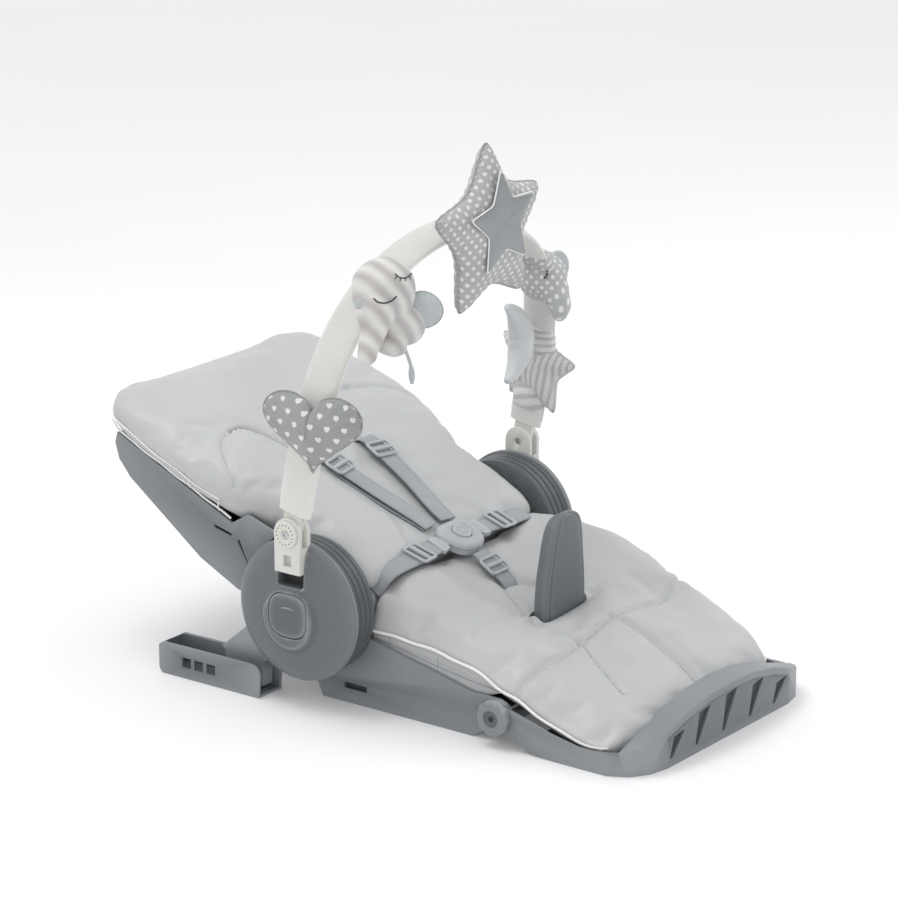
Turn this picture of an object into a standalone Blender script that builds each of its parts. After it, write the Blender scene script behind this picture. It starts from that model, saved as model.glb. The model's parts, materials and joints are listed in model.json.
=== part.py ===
"""Bouncer seat with a reclining padded back, a leg rest, a five-point harness and a toy bar.

Metres, +Z up, +Y towards the head end, X across the seat. The child's right is -X.
The origin is on the floor, under the middle of the object's box.
Outlines are written in millimetres, measured from the hub axis in Y and from the floor in Z,
or along and out from the hub axis in the plane of the backrest.
"""

import math

import bmesh
import bpy
from mathutils import Matrix, Vector

MM = 0.001
GAP = 0.0003                      # gap between pieces that touch

# Driving dimensions
HUB_Y = 0.0612                    # hub axis, behind the middle of the object
HUB_Z = 0.114                     # hub axis above the floor
TOY_REACH = 0.244                 # the outermost toys reach this far to each side
BACK_ANGLE = math.radians(24.4)   # backrest slope as stored
BAR_LEAN = math.radians(11.0)     # toy bar leans towards the feet
BAR_PIVOT_Z = 0.208
BAND_HALF_WIDTH = 0.0220
BAND_HALF_THICKNESS = 0.0062
HARNESS_TILT = math.radians(22.0)
BUCKLE = Vector((0.0, HUB_Y - 0.068, 0.158))
WEBBING_WIDTH = 0.025
WEBBING_THICKNESS = 0.0016
LEG_HINGE_Y = HUB_Y - 0.251
LEG_HINGE_Z = 0.034
SIDES = {"right": -1, "left": 1}

COLOURS = {
    "dark_plastic": ((0.115, 0.125, 0.133), 0.5, 0.0),
    "deep_plastic": ((0.035, 0.038, 0.041), 0.6, 0.0),
    "leatherette": ((0.52, 0.54, 0.56), 0.55, 0.0),
    "light_plastic": ((0.42, 0.43, 0.44), 0.45, 0.0),
    "ivory_plastic": ((0.72, 0.70, 0.64), 0.4, 0.0),
    "webbing": ((0.42, 0.44, 0.45), 0.8, 0.0),
    "steel": ((0.6, 0.6, 0.62), 0.3, 1.0),
    "white_cloth": ((0.78, 0.78, 0.74), 0.85, 0.0),
    "grey_plush": ((0.5, 0.52, 0.52), 0.9, 0.0),
    "mirror_film": ((0.75, 0.77, 0.78), 0.08, 1.0),
}


# ---------------------------------------------------------------- coordinates

def from_hub(points):
    """Millimetres behind the hub axis and above the floor, to (y, z) in metres."""
    return [(HUB_Y + y * MM, z * MM) for y, z in points]


def on_back(along, out):
    """Metres along the backrest and out of it, from the hub axis, to (y, z)."""
    cos_a = math.cos(BACK_ANGLE)
    sin_a = math.sin(BACK_ANGLE)
    return HUB_Y + along * cos_a - out * sin_a, HUB_Z + along * sin_a + out * cos_a


def back_outline(points):
    return [on_back(s * MM, n * MM) for s, n in points]


def arc(centre, radius, start, stop, count):
    """Points (u, v) on a circle, angles in degrees."""
    steps = [math.radians(start + (stop - start) * i / count) for i in range(count + 1)]
    return [(centre[0] + radius * math.cos(a), centre[1] + radius * math.sin(a)) for a in steps]


def circle(centre, radius, count=32):
    return arc(centre, radius, 0, 360, count)[:-1]


# ---------------------------------------------------------------- mesh building

def clear_scene():
    for item in list(bpy.data.objects):
        bpy.data.objects.remove(item)


def get_material(name):
    found = bpy.data.materials.get(name)
    if found:
        return found
    colour, roughness, metallic = COLOURS[name]
    made = bpy.data.materials.new(name)
    made.use_nodes = True
    shader = made.node_tree.nodes["Principled BSDF"]
    shader.inputs["Base Color"].default_value = (*colour, 1.0)
    shader.inputs["Roughness"].default_value = roughness
    shader.inputs["Metallic"].default_value = metallic
    return made


def make_object(name, bm, material):
    bmesh.ops.recalc_face_normals(bm, faces=bm.faces)
    mesh = bpy.data.meshes.new(name)
    bm.to_mesh(mesh)
    bm.free()
    mesh.materials.append(get_material(material))
    made = bpy.data.objects.new(name, mesh)
    bpy.context.collection.objects.link(made)
    return made


def smooth(piece, degrees=35):
    piece.data.shade_smooth()
    piece.data.set_sharp_from_angle(angle=math.radians(degrees))
    return piece


def loft(name, rings, material, closed=False):
    """A skin over rings of points, capped at both ends, or closed into a loop."""
    bm = bmesh.new()
    rows = [[bm.verts.new(p) for p in ring] for ring in rings]
    pairs = list(zip(rows, rows[1:]))
    if closed:
        pairs.append((rows[-1], rows[0]))
    for row, following in pairs:
        for i in range(len(row)):
            j = (i + 1) % len(row)
            bm.faces.new((row[i], row[j], following[j], following[i]))
    if not closed:
        bm.faces.new(rows[0])
        bm.faces.new(rows[-1])
    return make_object(name, bm, material)


def prism_x(name, outline, low, high, material):
    """An outline in (y, z) extruded along X."""
    rings = [[(x, y, z) for y, z in outline] for x in sorted((low, high))]
    return loft(name, rings, material)


def prism_y(name, outline, low, high, material):
    """An outline in (x, z) extruded along Y."""
    rings = [[(x, y, z) for x, z in outline] for y in (low, high)]
    return loft(name, rings, material)


def box(name, low, high, material):
    outline = [(low[1], low[2]), (high[1], low[2]), (high[1], high[2]), (low[1], high[2])]
    return prism_x(name, outline, low[0], high[0], material)


def disc_x(name, centre, radius, low, high, material, count=32):
    return prism_x(name, circle(centre, radius, count), low, high, material)


def turned_x(name, centre, profile, material, count=40):
    """A profile of (x, radius) turned about the X axis through centre (y, z)."""
    rings = [[(x, y, z) for y, z in circle(centre, r, count)] for x, r in profile]
    return loft(name, rings, material)


def combine(target, tools, operation):
    """Boolean the tools into the target, keep only the result."""
    for tool in tools:
        tool.hide_render = True
        tool.display_type = "WIRE"
        step = target.modifiers.new("shape", "BOOLEAN")
        step.operation = operation
        step.solver = "EXACT"
        step.object = tool
    bpy.context.view_layer.update()
    graph = bpy.context.evaluated_depsgraph_get()
    result = bpy.data.meshes.new_from_object(target.evaluated_get(graph))
    target.modifiers.clear()
    target.data = result
    for tool in tools:
        bpy.data.objects.remove(tool)
    return target


def cut(target, *tools):
    return combine(target, tools, "DIFFERENCE")


def join(target, *tools):
    return combine(target, tools, "UNION")


def mirrored(side, low, high):
    """The X range of a piece on one side, given its distances from the middle."""
    return sorted((side * low, side * high))


# ---------------------------------------------------------------- base

def base_shell():
    outside = from_hub([(-2, 0), (-211, 0), (-236, 14), (-258, 22), (-263, 34), (-259, 46), (-250, 51),
                        (-209, 51), (-168, 61), (-112, 73), (-73, 81), (-45, 80), (40, 80), (46, 60),
                        (40, 46), (10, 28)])
    shell = prism_x("base_shell", outside, -0.170, 0.170, "dark_plastic")
    under = from_hub([(-8, -5), (-207, -5), (-207, 5), (-234, 18), (-254, 26), (-258, 33), (-209, 33),
                      (-168, 43), (-112, 55), (-60, 64), (0, 67), (36, 67), (41, 60), (36, 50), (5, 33)])
    seat = from_hub([(60, 71), (0, 71), (-60, 68), (-112, 59), (-168, 47), (-209, 37), (-280, 37),
                     (-280, 120), (60, 120)])
    wall = 0.1655
    cutters = [prism_x("under", under, -wall, wall, "dark_plastic"),
               prism_x("seat", seat, -wall, wall, "dark_plastic")]
    slot = from_hub([(-33, 17), (-65, 17), (-65, 24), (-33, 24)])
    cutters.append(prism_x("slot", slot, -0.2, 0.2, "dark_plastic"))
    hinge = (LEG_HINGE_Y, LEG_HINGE_Z)
    cutters.append(disc_x("pin_hole", hinge, 0.0064, -0.2, 0.2, "dark_plastic", 20))
    cut(shell, *cutters)
    return shell


def hub_housing(side_name, side):
    """A drum, open towards its cover, with the web that runs down into the rear foot."""
    hub = (HUB_Y, HUB_Z)
    radii = [(170.4, 75), (174, 79), (205.4, 79)]
    profile = [(side * x * MM, r * MM) for x, r in radii]
    drum = turned_x("hub_housing_" + side_name, hub, profile, "dark_plastic", 32)
    web = from_hub([(20, 60), (52, 100), (69, 86), (117, 45), (112, 41), (112, 8), (58, 8), (56, 38),
                    (40, 46)])
    join(drum, prism_x("web", web, *mirrored(side, 0.187, 0.2052), "dark_plastic"))
    inside = [disc_x("inside", hub, 0.0745, *mirrored(side, 0.1755, 0.21), "dark_plastic", 32),
              disc_x("sleeve_hole", hub, 0.0306, *mirrored(side, 0.16, 0.18), "dark_plastic", 32)]
    cut(drum, *inside)
    ring = internal_ring("fixed_ring", side, 0.1906, 0.1985, 0.076)
    join(drum, ring)
    return drum


def gear_outline(root, tip, teeth=12):
    """Trapezoid teeth on a circle about the hub axis, four points for each tooth."""
    points = []
    pitch = 2 * math.pi / teeth
    for tooth in range(teeth):
        for share, radius in ((-0.34, root), (-0.18, tip), (0.18, tip), (0.34, root)):
            angle = (tooth + share) * pitch
            points.append((HUB_Y + radius * math.cos(angle), HUB_Z + radius * math.sin(angle)))
    return points


def internal_ring(name, side, low, high, outer_radius):
    """A disc with an internally toothed hole that the lock gear slides through."""
    ring = disc_x(name, (HUB_Y, HUB_Z), outer_radius, *mirrored(side, low, high), "deep_plastic", 32)
    teeth = prism_x("teeth", gear_outline(0.0206, 0.0246), *mirrored(side, low - 0.01, high + 0.01),
                    "deep_plastic")
    return cut(ring, teeth)


def recline_ring(side_name, side):
    """The backrest's brake ring, on a sleeve that turns in the hub drum's wall."""
    hub = (HUB_Y, HUB_Z)
    ring = disc_x("recline_ring_" + side_name, hub, 0.036, *mirrored(side, 0.1785, 0.188), "deep_plastic", 32)
    join(ring, disc_x("sleeve", hub, 0.030, *mirrored(side, 0.1648, 0.1790), "deep_plastic", 32))
    return cut(ring, disc_x("brake_bore", hub, 0.0206, *mirrored(side, 0.16, 0.19), "deep_plastic", 32),
               disc_x("tooth_room", hub, 0.0250, *mirrored(side, 0.1795, 0.19), "deep_plastic", 32))


def lock_gear(side_name, side):
    """Teeth that slide in the drum's fixed ring, and a round face that brakes the backrest's ring."""
    hub = (HUB_Y, HUB_Z)
    gear = prism_x("lock_gear_" + side_name, gear_outline(0.0201, 0.0241), *mirrored(side, 0.1898, 0.1985),
                   "ivory_plastic")
    join(gear, disc_x("brake_face", hub, 0.0199, *mirrored(side, 0.1745, 0.1900), "ivory_plastic", 32))
    return cut(gear, disc_x("bore", hub, 0.0084, *mirrored(side, 0.17, 0.21), "ivory_plastic", 24))


def button_spring(side_name, side):
    """A coil between the backrest arm and the lock gear."""
    turns, steps, wire, radius = 3, 9, 0.0010, 0.0135
    low, high = 0.1657, 0.1732
    rings = []
    for i in range(int(turns * steps) + 1):
        angle = 2 * math.pi * i / steps
        x = side * (low + (high - low) * i / (turns * steps))
        outward = Vector((0, math.cos(angle), math.sin(angle)))
        centre = Vector((x, HUB_Y, HUB_Z)) + outward * radius
        rings.append([centre + outward * wire * math.cos(t) + Vector((wire * math.sin(t), 0, 0))
                      for t in (2 * math.pi * k / 4 for k in range(4))])
    return loft("button_spring_" + side_name, rings, "steel")


def squircle(centre, half_y, half_z, count=24, power=0.7):
    points = []
    for i in range(count):
        a = 2 * math.pi * i / count
        c, s = math.cos(a), math.sin(a)
        points.append((centre[0] + half_y * math.copysign(abs(c) ** power, c),
                       centre[1] + half_z * math.copysign(abs(s) ** power, s)))
    return points


def hub_cover(side_name, side):
    """A domed disc with a raised boss round the button and a socket for the toy bar clip."""
    dome = [(205.7, 83), (214, 83), (219, 79), (223, 69), (225.6, 50), (226, 42), (228.4, 34)]
    profile = [(side * x * MM, r * MM) for x, r in dome]
    cover = turned_x("hub_cover_" + side_name, (HUB_Y, HUB_Z), profile, "dark_plastic", 36)
    button = (HUB_Y, HUB_Z - 0.002)
    cutters = [prism_x("button_hole", squircle(button, 0.0275, 0.0262), *mirrored(side, 0.2, 0.24),
                       "dark_plastic")]
    low, high = mirrored(side, 0.2087, 0.25)
    cutters.append(box("socket", (low, HUB_Y - 0.0186, 0.145), (high, HUB_Y + 0.0186, 0.22),
                       "dark_plastic"))
    return cut(cover, *cutters)


def recline_button(side_name, side):
    """The button's cap and the stem behind it."""
    centre = (HUB_Y, HUB_Z - 0.002)
    rings = []
    for x, reach in ((214.0, 26.8), (229, 26.8), (230.4, 25.4), (231.0, 22.0)):
        rings.append([(side * x * MM, y, z) for y, z in
                      squircle(centre, reach * MM, (reach - 1.2) * MM)])
    cap = loft("recline_button_" + side_name, rings, "dark_plastic")
    stem = disc_x("stem", (HUB_Y, HUB_Z), 0.0115, *mirrored(side, 0.1988, 0.2145), "dark_plastic", 24)
    return join(cap, stem)


def rear_foot(side_name, side):
    """A channel on the floor, with three windows in its outer wall."""
    side_view = from_hub([(50, 0), (190, 0)])
    side_view += arc((HUB_Y + 0.190, 0.008), 0.008, -90, 0, 3)[1:]
    side_view += from_hub([(198, 34), (192, 38), (62, 39)])
    side_view += arc((HUB_Y + 0.060, 0.027), 0.012, 90, 180, 3)
    foot = prism_x("rear_foot_" + side_name, side_view, *mirrored(side, 0.1802, 0.222), "dark_plastic")
    hollow = from_hub([(20, 4), (192, 4), (194, 60), (20, 60)])
    cutters = [prism_x("hollow", hollow, *mirrored(side, 0.1842, 0.218), "dark_plastic")]
    for start in (114, 132, 150):
        window = from_hub([(start, 13), (start + 13, 13), (start + 13, 25), (start, 25)])
        cutters.append(prism_x("window", window, *mirrored(side, 0.2, 0.24), "dark_plastic"))
    return cut(foot, *cutters)


def crotch_post():
    """A paddle that stands on the seat deck."""
    stations = [(52, -209.5, 39, 10.5), (112, -209.5, 39, 11), (140, -210, 37, 11), (165, -211, 33.5, 10.5),
                (190, -212.5, 29.5, 10), (204, -213.5, 26, 9), (211, -214, 21.5, 7.5), (215, -214.5, 14, 5)]
    rings = []
    for z, y, half_width, half_depth in stations:
        rings.append([(half_width * MM * math.copysign(abs(math.cos(a)) ** 0.55, math.cos(a)),
                       HUB_Y + y * MM + half_depth * MM * math.copysign(abs(math.sin(a)) ** 0.7, math.sin(a)),
                       z * MM)
                      for a in (2 * math.pi * i / 16 for i in range(16))])
    return smooth(loft("crotch_post", rings, "dark_plastic"))


# ---------------------------------------------------------------- backrest

def backrest_shell():
    """A shallow tub with a stepped rim, on two arms that turn about the hub axis."""
    near_hub = [(88 * math.cos(math.radians(a)), 88 * math.sin(math.radians(a)))
                for a in (-32, -16, 0, 16, 30)]
    outline = near_hub + [(122, 39), (137, 17), (324, 17), (322, 4), (309, -11), (286, -22), (253, -29),
                          (159, -49), (99, -51)]
    tub = prism_x("backrest_shell", back_outline(outline), -0.183, 0.183, "dark_plastic")
    end = [(70, -44), (99, -46.5), (158, -44.5), (252, -24.5), (285, -17.5), (306, -6), (318, 14),
           (318, 80), (60, 80), (60, -44)]
    cut(tub, prism_x("inner", back_outline(end), -0.179, 0.179, "dark_plastic"))
    arm = [(28 * math.cos(math.radians(a)), 28 * math.sin(math.radians(a)))
           for a in range(60, 301, 24)]
    arm = arm + [(60, -28), (100, -50.5), (130, -49), (130, 8), (60, 14), (30, 17)]
    arms = [prism_x("arm", back_outline(arm), side * 0.150, side * 0.1645, "dark_plastic")
            for side in SIDES.values()]
    plate = back_outline([(92, -49), (120, -49), (120, -20), (92, -20)])
    join(tub, *arms, prism_x("plate", plate, -0.181, 0.181, "dark_plastic"))
    cutters = [disc_x("shaft_bore", (HUB_Y, HUB_Z), 0.0084, -0.2, 0.2, "dark_plastic", 24)]
    for slot in ([(93, -17), (96, -16), (122, 2), (120, 5)],
                 [(156, -3), (159, 0), (132, 5), (131, 2)]):
        cutters.append(prism_x("slot", back_outline(slot), -0.2, 0.2, "dark_plastic"))
    return cut(tub, *cutters)


def pivot_shaft():
    return disc_x("pivot_shaft", (HUB_Y, HUB_Z), 0.008, -0.187, 0.187, "steel", 24)


# ---------------------------------------------------------------- pads

def pad_ring(place, half_width, bottom, edge, right_top, centre_top, left_top):
    """One cross-section of a pad: a crown near each side and a shallow valley in the middle."""
    w = half_width
    halves = []
    for top in (right_top, left_top):
        rise = top - edge
        halves.append([(w * 0.95, bottom), (w, edge), (w * 1.03, edge + 0.5 * rise),
                       (w * 0.97, edge + 0.88 * rise), (w * 0.85, top),
                       (w * 0.45, 0.55 * top + 0.45 * centre_top)])
    right, left = halves
    ring = [(-x, z) for x, z in right] + [(0.0, centre_top)] + list(reversed(left))
    return [place(x, z) for x, z in ring]


def loft_pad(name, stations, place_at):
    """Stations are (position, half width, bottom, edge, right, centre and left top), in millimetres."""
    rings = []
    for position, *sizes in stations:
        place = place_at(position * MM)
        rings.append(pad_ring(place, *(size * MM for size in sizes)))
    return smooth(loft(name, rings, "leatherette"), 60)


def backrest_pad():
    stations = [(26, 163, 31, 44, 70, 60), (44, 163, 20, 40, 71, 61), (84, 164, 19.5, 40, 73, 62),
                (98, 175, 19.5, 42, 74, 62), (136, 176, 19.5, 42, 74, 62), (150, 190, 19.5, 36, 73, 61),
                (197, 192, 19.5, 36, 71, 59), (250, 193, 19.5, 36, 66, 56), (291, 192, 19.5, 36, 60, 54),
                (325, 188, 19.5, 36, 57, 53), (346, 176, 21, 36, 54, 51), (360, 154, 25, 37, 49, 48),
                (368, 124, 31, 38, 43, 43)]

    def place_at(along):
        return lambda x, out: Vector((x, *on_back(along, out)))
    return loft_pad("backrest_pad", [(*station, station[-2]) for station in stations], place_at)


def seat_place(y_from_hub):
    return lambda x, z: Vector((x, HUB_Y + y_from_hub, z))


def seat_pad():
    """The cover lies lower along its right edge than along its left one."""
    stations = [(-62, 163.5, 69, 92, 144, 136, 148), (-90, 163.5, 65, 84, 141, 127, 150),
                (-135, 163.5, 56, 76, 130, 113, 150), (-180, 163.5, 46, 68, 117, 106, 146),
                (-231.6, 163.5, 38, 56, 101, 100, 134)]
    pad = loft_pad("seat_pad", stations, seat_place)
    slot = box("post_slot", (-0.0425, HUB_Y - 0.2215, 0.02), (0.0425, HUB_Y - 0.1925, 0.2), "leatherette")
    return cut(pad, slot)


def knee_pad():
    """The stretch of padding that folds over the leg rest hinge."""
    stations = [(-232, 163, 38, 56, 101, 100, 134), (-250, 163, 38, 54, 95, 97, 124),
                (-265.6, 163, 38, 52, 88, 94, 114)]
    return loft_pad("knee_pad", stations, seat_place)


def leg_rest_pad():
    stations = [(-266, 165, 13, 34, 88, 94, 114), (-291, 169, 9.6, 30, 77, 86, 102),
                (-347, 170, 9.6, 24, 54, 62, 73), (-380, 166, 9.6, 20, 41, 46, 48),
                (-398, 146, 11, 18, 32, 36, 34)]
    return loft_pad("leg_rest_pad", stations, seat_place)


def crease_pad():
    """The padding that folds at the crease, between the seat and the backrest."""
    outline = from_hub([(-61.6, 96), (-61.6, 136), (-40, 152), (-16, 166), (7, 151), (-20, 141),
                        (-38, 112), (-48, 98)])
    rings = [[(x * 0.94, y, z) if i not in (0, 4, 5, 6, 7) else (x, y, z)
              for i, (y, z) in enumerate(outline)] for x in (-0.163, 0.163)]
    return smooth(loft("crease_pad", rings, "leatherette"), 60)


# ---------------------------------------------------------------- leg rest

TRAY_FRONT = [(-180, 12), (-176, 27), (-156, 33), (-120, 44), (-89, 54), (-45, 63), (0, 66)]


TRAY_OUTSIDE = [(-190, -190), (-190, -372), (-180, -398), (-168, -420), (-148, -434), (-120, -440), (0, -445)]
TRAY_INSIDE = [(-176, -190), (-176, -378), (-171, -396), (-160, -411), (-144, -421), (-120, -424), (0, -424)]


def plan_prism(outline):
    """A tall prism over half an outline seen from above, mirrored to the other side."""
    half = [(x * MM, HUB_Y + y * MM) for x, y in outline]
    whole = half + [(-x, y) for x, y in reversed(half[:-1])]
    return loft("plan", [[(x, y, z) for x, y in whole] for z in (-0.01, 0.1)], "dark_plastic")


def leg_rest_tray():
    """Side walls, a floor plate and a bowed front with five wedge-shaped openings."""
    wall = from_hub([(-262, 15), (-300, 4), (-330, 0), (-412, 0), (-436, 0), (-436, 24), (-360, 24),
                     (-322, 31), (-300, 38)])
    wall += arc((LEG_HINGE_Y, LEG_HINGE_Z), 0.0185, 75, -105, 10)
    tray = prism_x("leg_rest_tray", wall, -0.180, 0.180, "dark_plastic")
    hollow = from_hub([(-200, -5), (-200, 70), (-424, 70), (-424, 9), (-282, 9), (-276, -5)])
    underside = from_hub([(-284, -5), (-284, 5.5), (-424, 5.5), (-424, -5)])
    for outline in (hollow, underside):
        cutter = prism_x("hollow", outline, -0.176, 0.176, "dark_plastic")
        combine(cutter, [plan_prism(TRAY_INSIDE)], "INTERSECT")
        cut(tray, cutter)
    upper = [(x * MM, z * MM) for x, z in TRAY_FRONT]
    upper += [(-x, z) for x, z in reversed(upper[:-1])]
    front = prism_y("front", [(-0.174, 0.0), *upper, (0.174, 0.0)], HUB_Y - 0.4395, HUB_Y - 0.424,
                    "dark_plastic")
    rim_low = [(x, z - 0.008) for x, z in upper[1:-1]]
    rim = prism_y("rim", upper[1:-1] + list(reversed(rim_low)), HUB_Y - 0.445, HUB_Y - 0.410,
                  "dark_plastic")
    ears = [prism_x("ear", circle((LEG_HINGE_Y, LEG_HINGE_Z), 0.0185, 24), side * 0.1703, side * 0.178,
                    "dark_plastic") for side in SIDES.values()]
    join(tray, front, rim, *ears)
    combine(tray, [plan_prism(TRAY_OUTSIDE)], "INTERSECT")
    holes = []
    for middle in (-104, -54, 0, 54, 104):
        top = 52 - 0.0016 * middle * middle
        wedge = [(middle - 7, top - 1.5), (middle + 15, top + 1.5), (middle - 9, 10), (middle - 14, 10)]
        holes.append(prism_y("wedge", [(x * MM, z * MM) for x, z in wedge], HUB_Y - 0.46, HUB_Y - 0.427,
                             "dark_plastic"))
    holes.append(disc_x("pin_hole", (LEG_HINGE_Y, LEG_HINGE_Z), 0.0064, -0.2, 0.2, "dark_plastic", 20))
    return cut(tray, *holes)


def hinge_cap(side_name, side):
    centre = (LEG_HINGE_Y, LEG_HINGE_Z)
    profile = [(side * x * MM, r * MM) for x, r in
               ((180.3, 20), (187, 20), (190, 17), (190.6, 9), (188.8, 7.5), (188.8, 2))]
    cap = turned_x("hinge_cap_" + side_name, centre, profile, "dark_plastic", 18)
    return join(cap, disc_x("pin", centre, 0.006, *mirrored(side, 0.158, 0.182), "steel", 16))


# ---------------------------------------------------------------- harness

def harness_point(x, along, out):
    """A point in the tilted plane of the buckle."""
    cos_t = math.cos(HARNESS_TILT)
    sin_t = math.sin(HARNESS_TILT)
    return BUCKLE + Vector((x, along * cos_t - out * sin_t, along * sin_t + out * cos_t))


def ribbon(name, points, across, material="webbing"):
    """A flat strap of webbing along points."""
    rings = []
    for i, point in enumerate(points):
        before = points[max(i - 1, 0)]
        after = points[min(i + 1, len(points) - 1)]
        direction = (after - before).normalized()
        side = (across - direction * across.dot(direction)).normalized()
        up = direction.cross(side)
        half, thick = side * WEBBING_WIDTH / 2, up * WEBBING_THICKNESS / 2
        rings.append([point - half - thick, point + half - thick, point + half + thick,
                      point - half + thick])
    return loft(name, rings, material)


def shoulder_strap(side_name, side):
    points = [Vector((side * 0.042, *on_back(0.142, 0.0705))),
              Vector((side * 0.040, *on_back(0.120, 0.0712))),
              Vector((side * 0.031, *on_back(0.060, 0.0700))),
              Vector((side * 0.020, *on_back(0.010, 0.0675))),
              harness_point(side * 0.0165, 0.030, 0.0)]
    return ribbon("shoulder_strap_" + side_name, points, Vector((1, 0, 0)))


WAIST_OUT = Vector((0.124, -0.004, -0.0025))
WAIST_IN = Vector((0.046, 0.0, 0.0))


def waist_strap(side_name, side):
    points = [BUCKLE + Vector((side * v.x, v.y, v.z)) for v in
              (WAIST_OUT, WAIST_OUT.lerp(WAIST_IN, 0.5) + Vector((0, 0, -0.001)), WAIST_IN)]
    return ribbon("waist_strap_" + side_name, points, Vector((0, 1, 0.3)))


CROTCH_LOW = Vector((0, -0.066, -0.0360))
CROTCH_HIGH = Vector((0, -0.029, -0.0125))


def crotch_strap():
    points = [BUCKLE + CROTCH_LOW, BUCKLE + CROTCH_LOW.lerp(CROTCH_HIGH, 0.5), BUCKLE + CROTCH_HIGH]
    return ribbon("crotch_strap", points, Vector((1, 0, 0)))


def adjuster(name, centre, along, across):
    """A three-bar slide that lies on the webbing."""
    along = along.normalized()
    across = (across - along * across.dot(along)).normalized()
    up = along.cross(across)
    if up.z < 0:
        up = -up
    centre = centre + up * (WEBBING_THICKNESS / 2 + GAP)
    half_l, half_w, height, bar, rim = 0.0135, 0.0175, 0.0036, 0.0035, 0.0036

    def plate(part, l0, l1, w0, w1, z0, z1):
        corners = [(l0, w0), (l1, w0), (l1, w1), (l0, w1)]
        rings = [[centre + along * a + across * b + up * z for a, b in corners] for z in (z0, z1)]
        return loft(part, rings, "light_plastic")
    frame = plate(name, -half_l, half_l, -half_w, half_w, 0.0, height)
    windows = [plate("window", -half_l + rim, -bar / 2, -half_w + rim, half_w - rim, -0.002, 0.01),
               plate("window", bar / 2, half_l - rim, -half_w + rim, half_w - rim, -0.002, 0.01)]
    return cut(frame, *windows)


def adjusters():
    made = {}
    for side_name, side in SIDES.items():
        upper = Vector((side * 0.040, *on_back(0.120, 0.0714)))
        lower = Vector((side * 0.031, *on_back(0.060, 0.0702)))
        made["shoulder_adjuster_" + side_name] = adjuster(
            "shoulder_adjuster_" + side_name, upper.lerp(lower, 0.1), upper - lower, Vector((1, 0, 0)))
        outer = BUCKLE + Vector((side * WAIST_OUT.x, WAIST_OUT.y, WAIST_OUT.z))
        inner = BUCKLE + Vector((side * WAIST_IN.x, WAIST_IN.y, WAIST_IN.z))
        made["waist_adjuster_" + side_name] = adjuster(
            "waist_adjuster_" + side_name, inner.lerp(outer, 0.4) + Vector((0, 0, 0.0002)),
            outer - inner, Vector((0, 1, 0.3)))
    low, high = BUCKLE + CROTCH_LOW, BUCKLE + CROTCH_HIGH
    made["crotch_adjuster"] = adjuster("crotch_adjuster", low.lerp(high, 0.45), low - high,
                                       Vector((1, 0, 0)))
    return made


def harness_plate(name, outline, low, high, material):
    """An outline in the buckle's plane, in millimetres, given a thickness."""
    rings = [[harness_point(x * MM, v * MM, w * MM) for x, v in outline] for w in (low, high)]
    return loft(name, rings, material)


def buckle_housing():
    outline = [(-27, -8), (-19, -24), (0, -27.5), (19, -24), (27, -8), (29, 6), (23, 18), (8, 22),
               (-8, 22), (-23, 18), (-29, 6)]
    housing = harness_plate("buckle_housing", outline, -7, 8, "light_plastic")
    cutters = [harness_plate("button_hole", circle((0, -1), 12.2, 28), 1.2, 20, "light_plastic")]
    for side in SIDES.values():
        slot = [(side * 16, -8), (side * 16, 8), (side * 40, 8), (side * 40, -8)]
        cutters.append(harness_plate("slot", slot, -3.2, 3.2, "light_plastic"))
    return cut(housing, *cutters)


def buckle_button():
    rings = [[harness_point(x * MM, v * MM, w * MM) for x, v in circle((0, -1), r, 28)]
             for w, r in ((4.6, 11.6), (9.2, 11.6), (10.0, 10.6), (10.2, 7.0))]
    return smooth(loft("buckle_button", rings, "light_plastic"))


def buckle_tongue(side_name, side):
    blade = [(17, -7), (17, 7), (30, 7), (33, 12), (43, 14.5), (45, 12), (45, -12), (43, -14.5),
             (33, -12), (30, -7)]
    tongue = harness_plate("buckle_tongue_" + side_name, [(side * x, v) for x, v in blade], -2.6, 2.6,
                           "light_plastic")
    slot = [(side * 38.5, -10), (side * 38.5, 10), (side * 42, 10), (side * 42, -10)]
    return cut(tongue, harness_plate("strap_slot", slot, -5, 5, "light_plastic"))


# ---------------------------------------------------------------- toy bar

def on_bar(x, up, forward=0.0):
    """A point in the arch's leaning plane: across, up from the pivots, and out in front."""
    y = HUB_Y - up * math.sin(BAR_LEAN) - forward * math.cos(BAR_LEAN)
    return Vector((x, y, BAR_PIVOT_Z + up * math.cos(BAR_LEAN) - forward * math.sin(BAR_LEAN)))


def arch_point(t):
    """The arch's middle line, t from -1 at the right foot to 1 at the left one."""
    a = math.pi / 2 * t
    half_width = 0.219 + 0.012 * math.cos(a) ** 2 * math.sin(abs(a)) * 2
    x = half_width * math.copysign(abs(math.sin(a)) ** 0.92, a)
    up = 0.024 + 0.296 * math.cos(a) ** 0.72
    return x, up


def arch_band(name, half_band, half_thick, material, count=28):
    """A flat band along the arch, with softened long edges."""
    rings = []
    for i in range(count + 1):
        t = -1 + 2 * i / count
        x, up = arch_point(t)
        x0, up0 = arch_point(max(t - 0.01, -1))
        x1, up1 = arch_point(min(t + 0.01, 1))
        slope = Vector((x1 - x0, up1 - up0)).normalized()
        inward = Vector((slope.y, -slope.x))
        ring = []
        for across, thick in ((-1, -0.55), (-1, 0.55), (-0.88, 1), (0.88, 1), (1, 0.55), (1, -0.55),
                              (0.88, -1), (-0.88, -1)):
            ring.append(on_bar(x + inward.x * thick * half_thick, up + inward.y * thick * half_thick,
                               across * half_band))
        rings.append(ring)
    return loft(name, rings, material)


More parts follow.
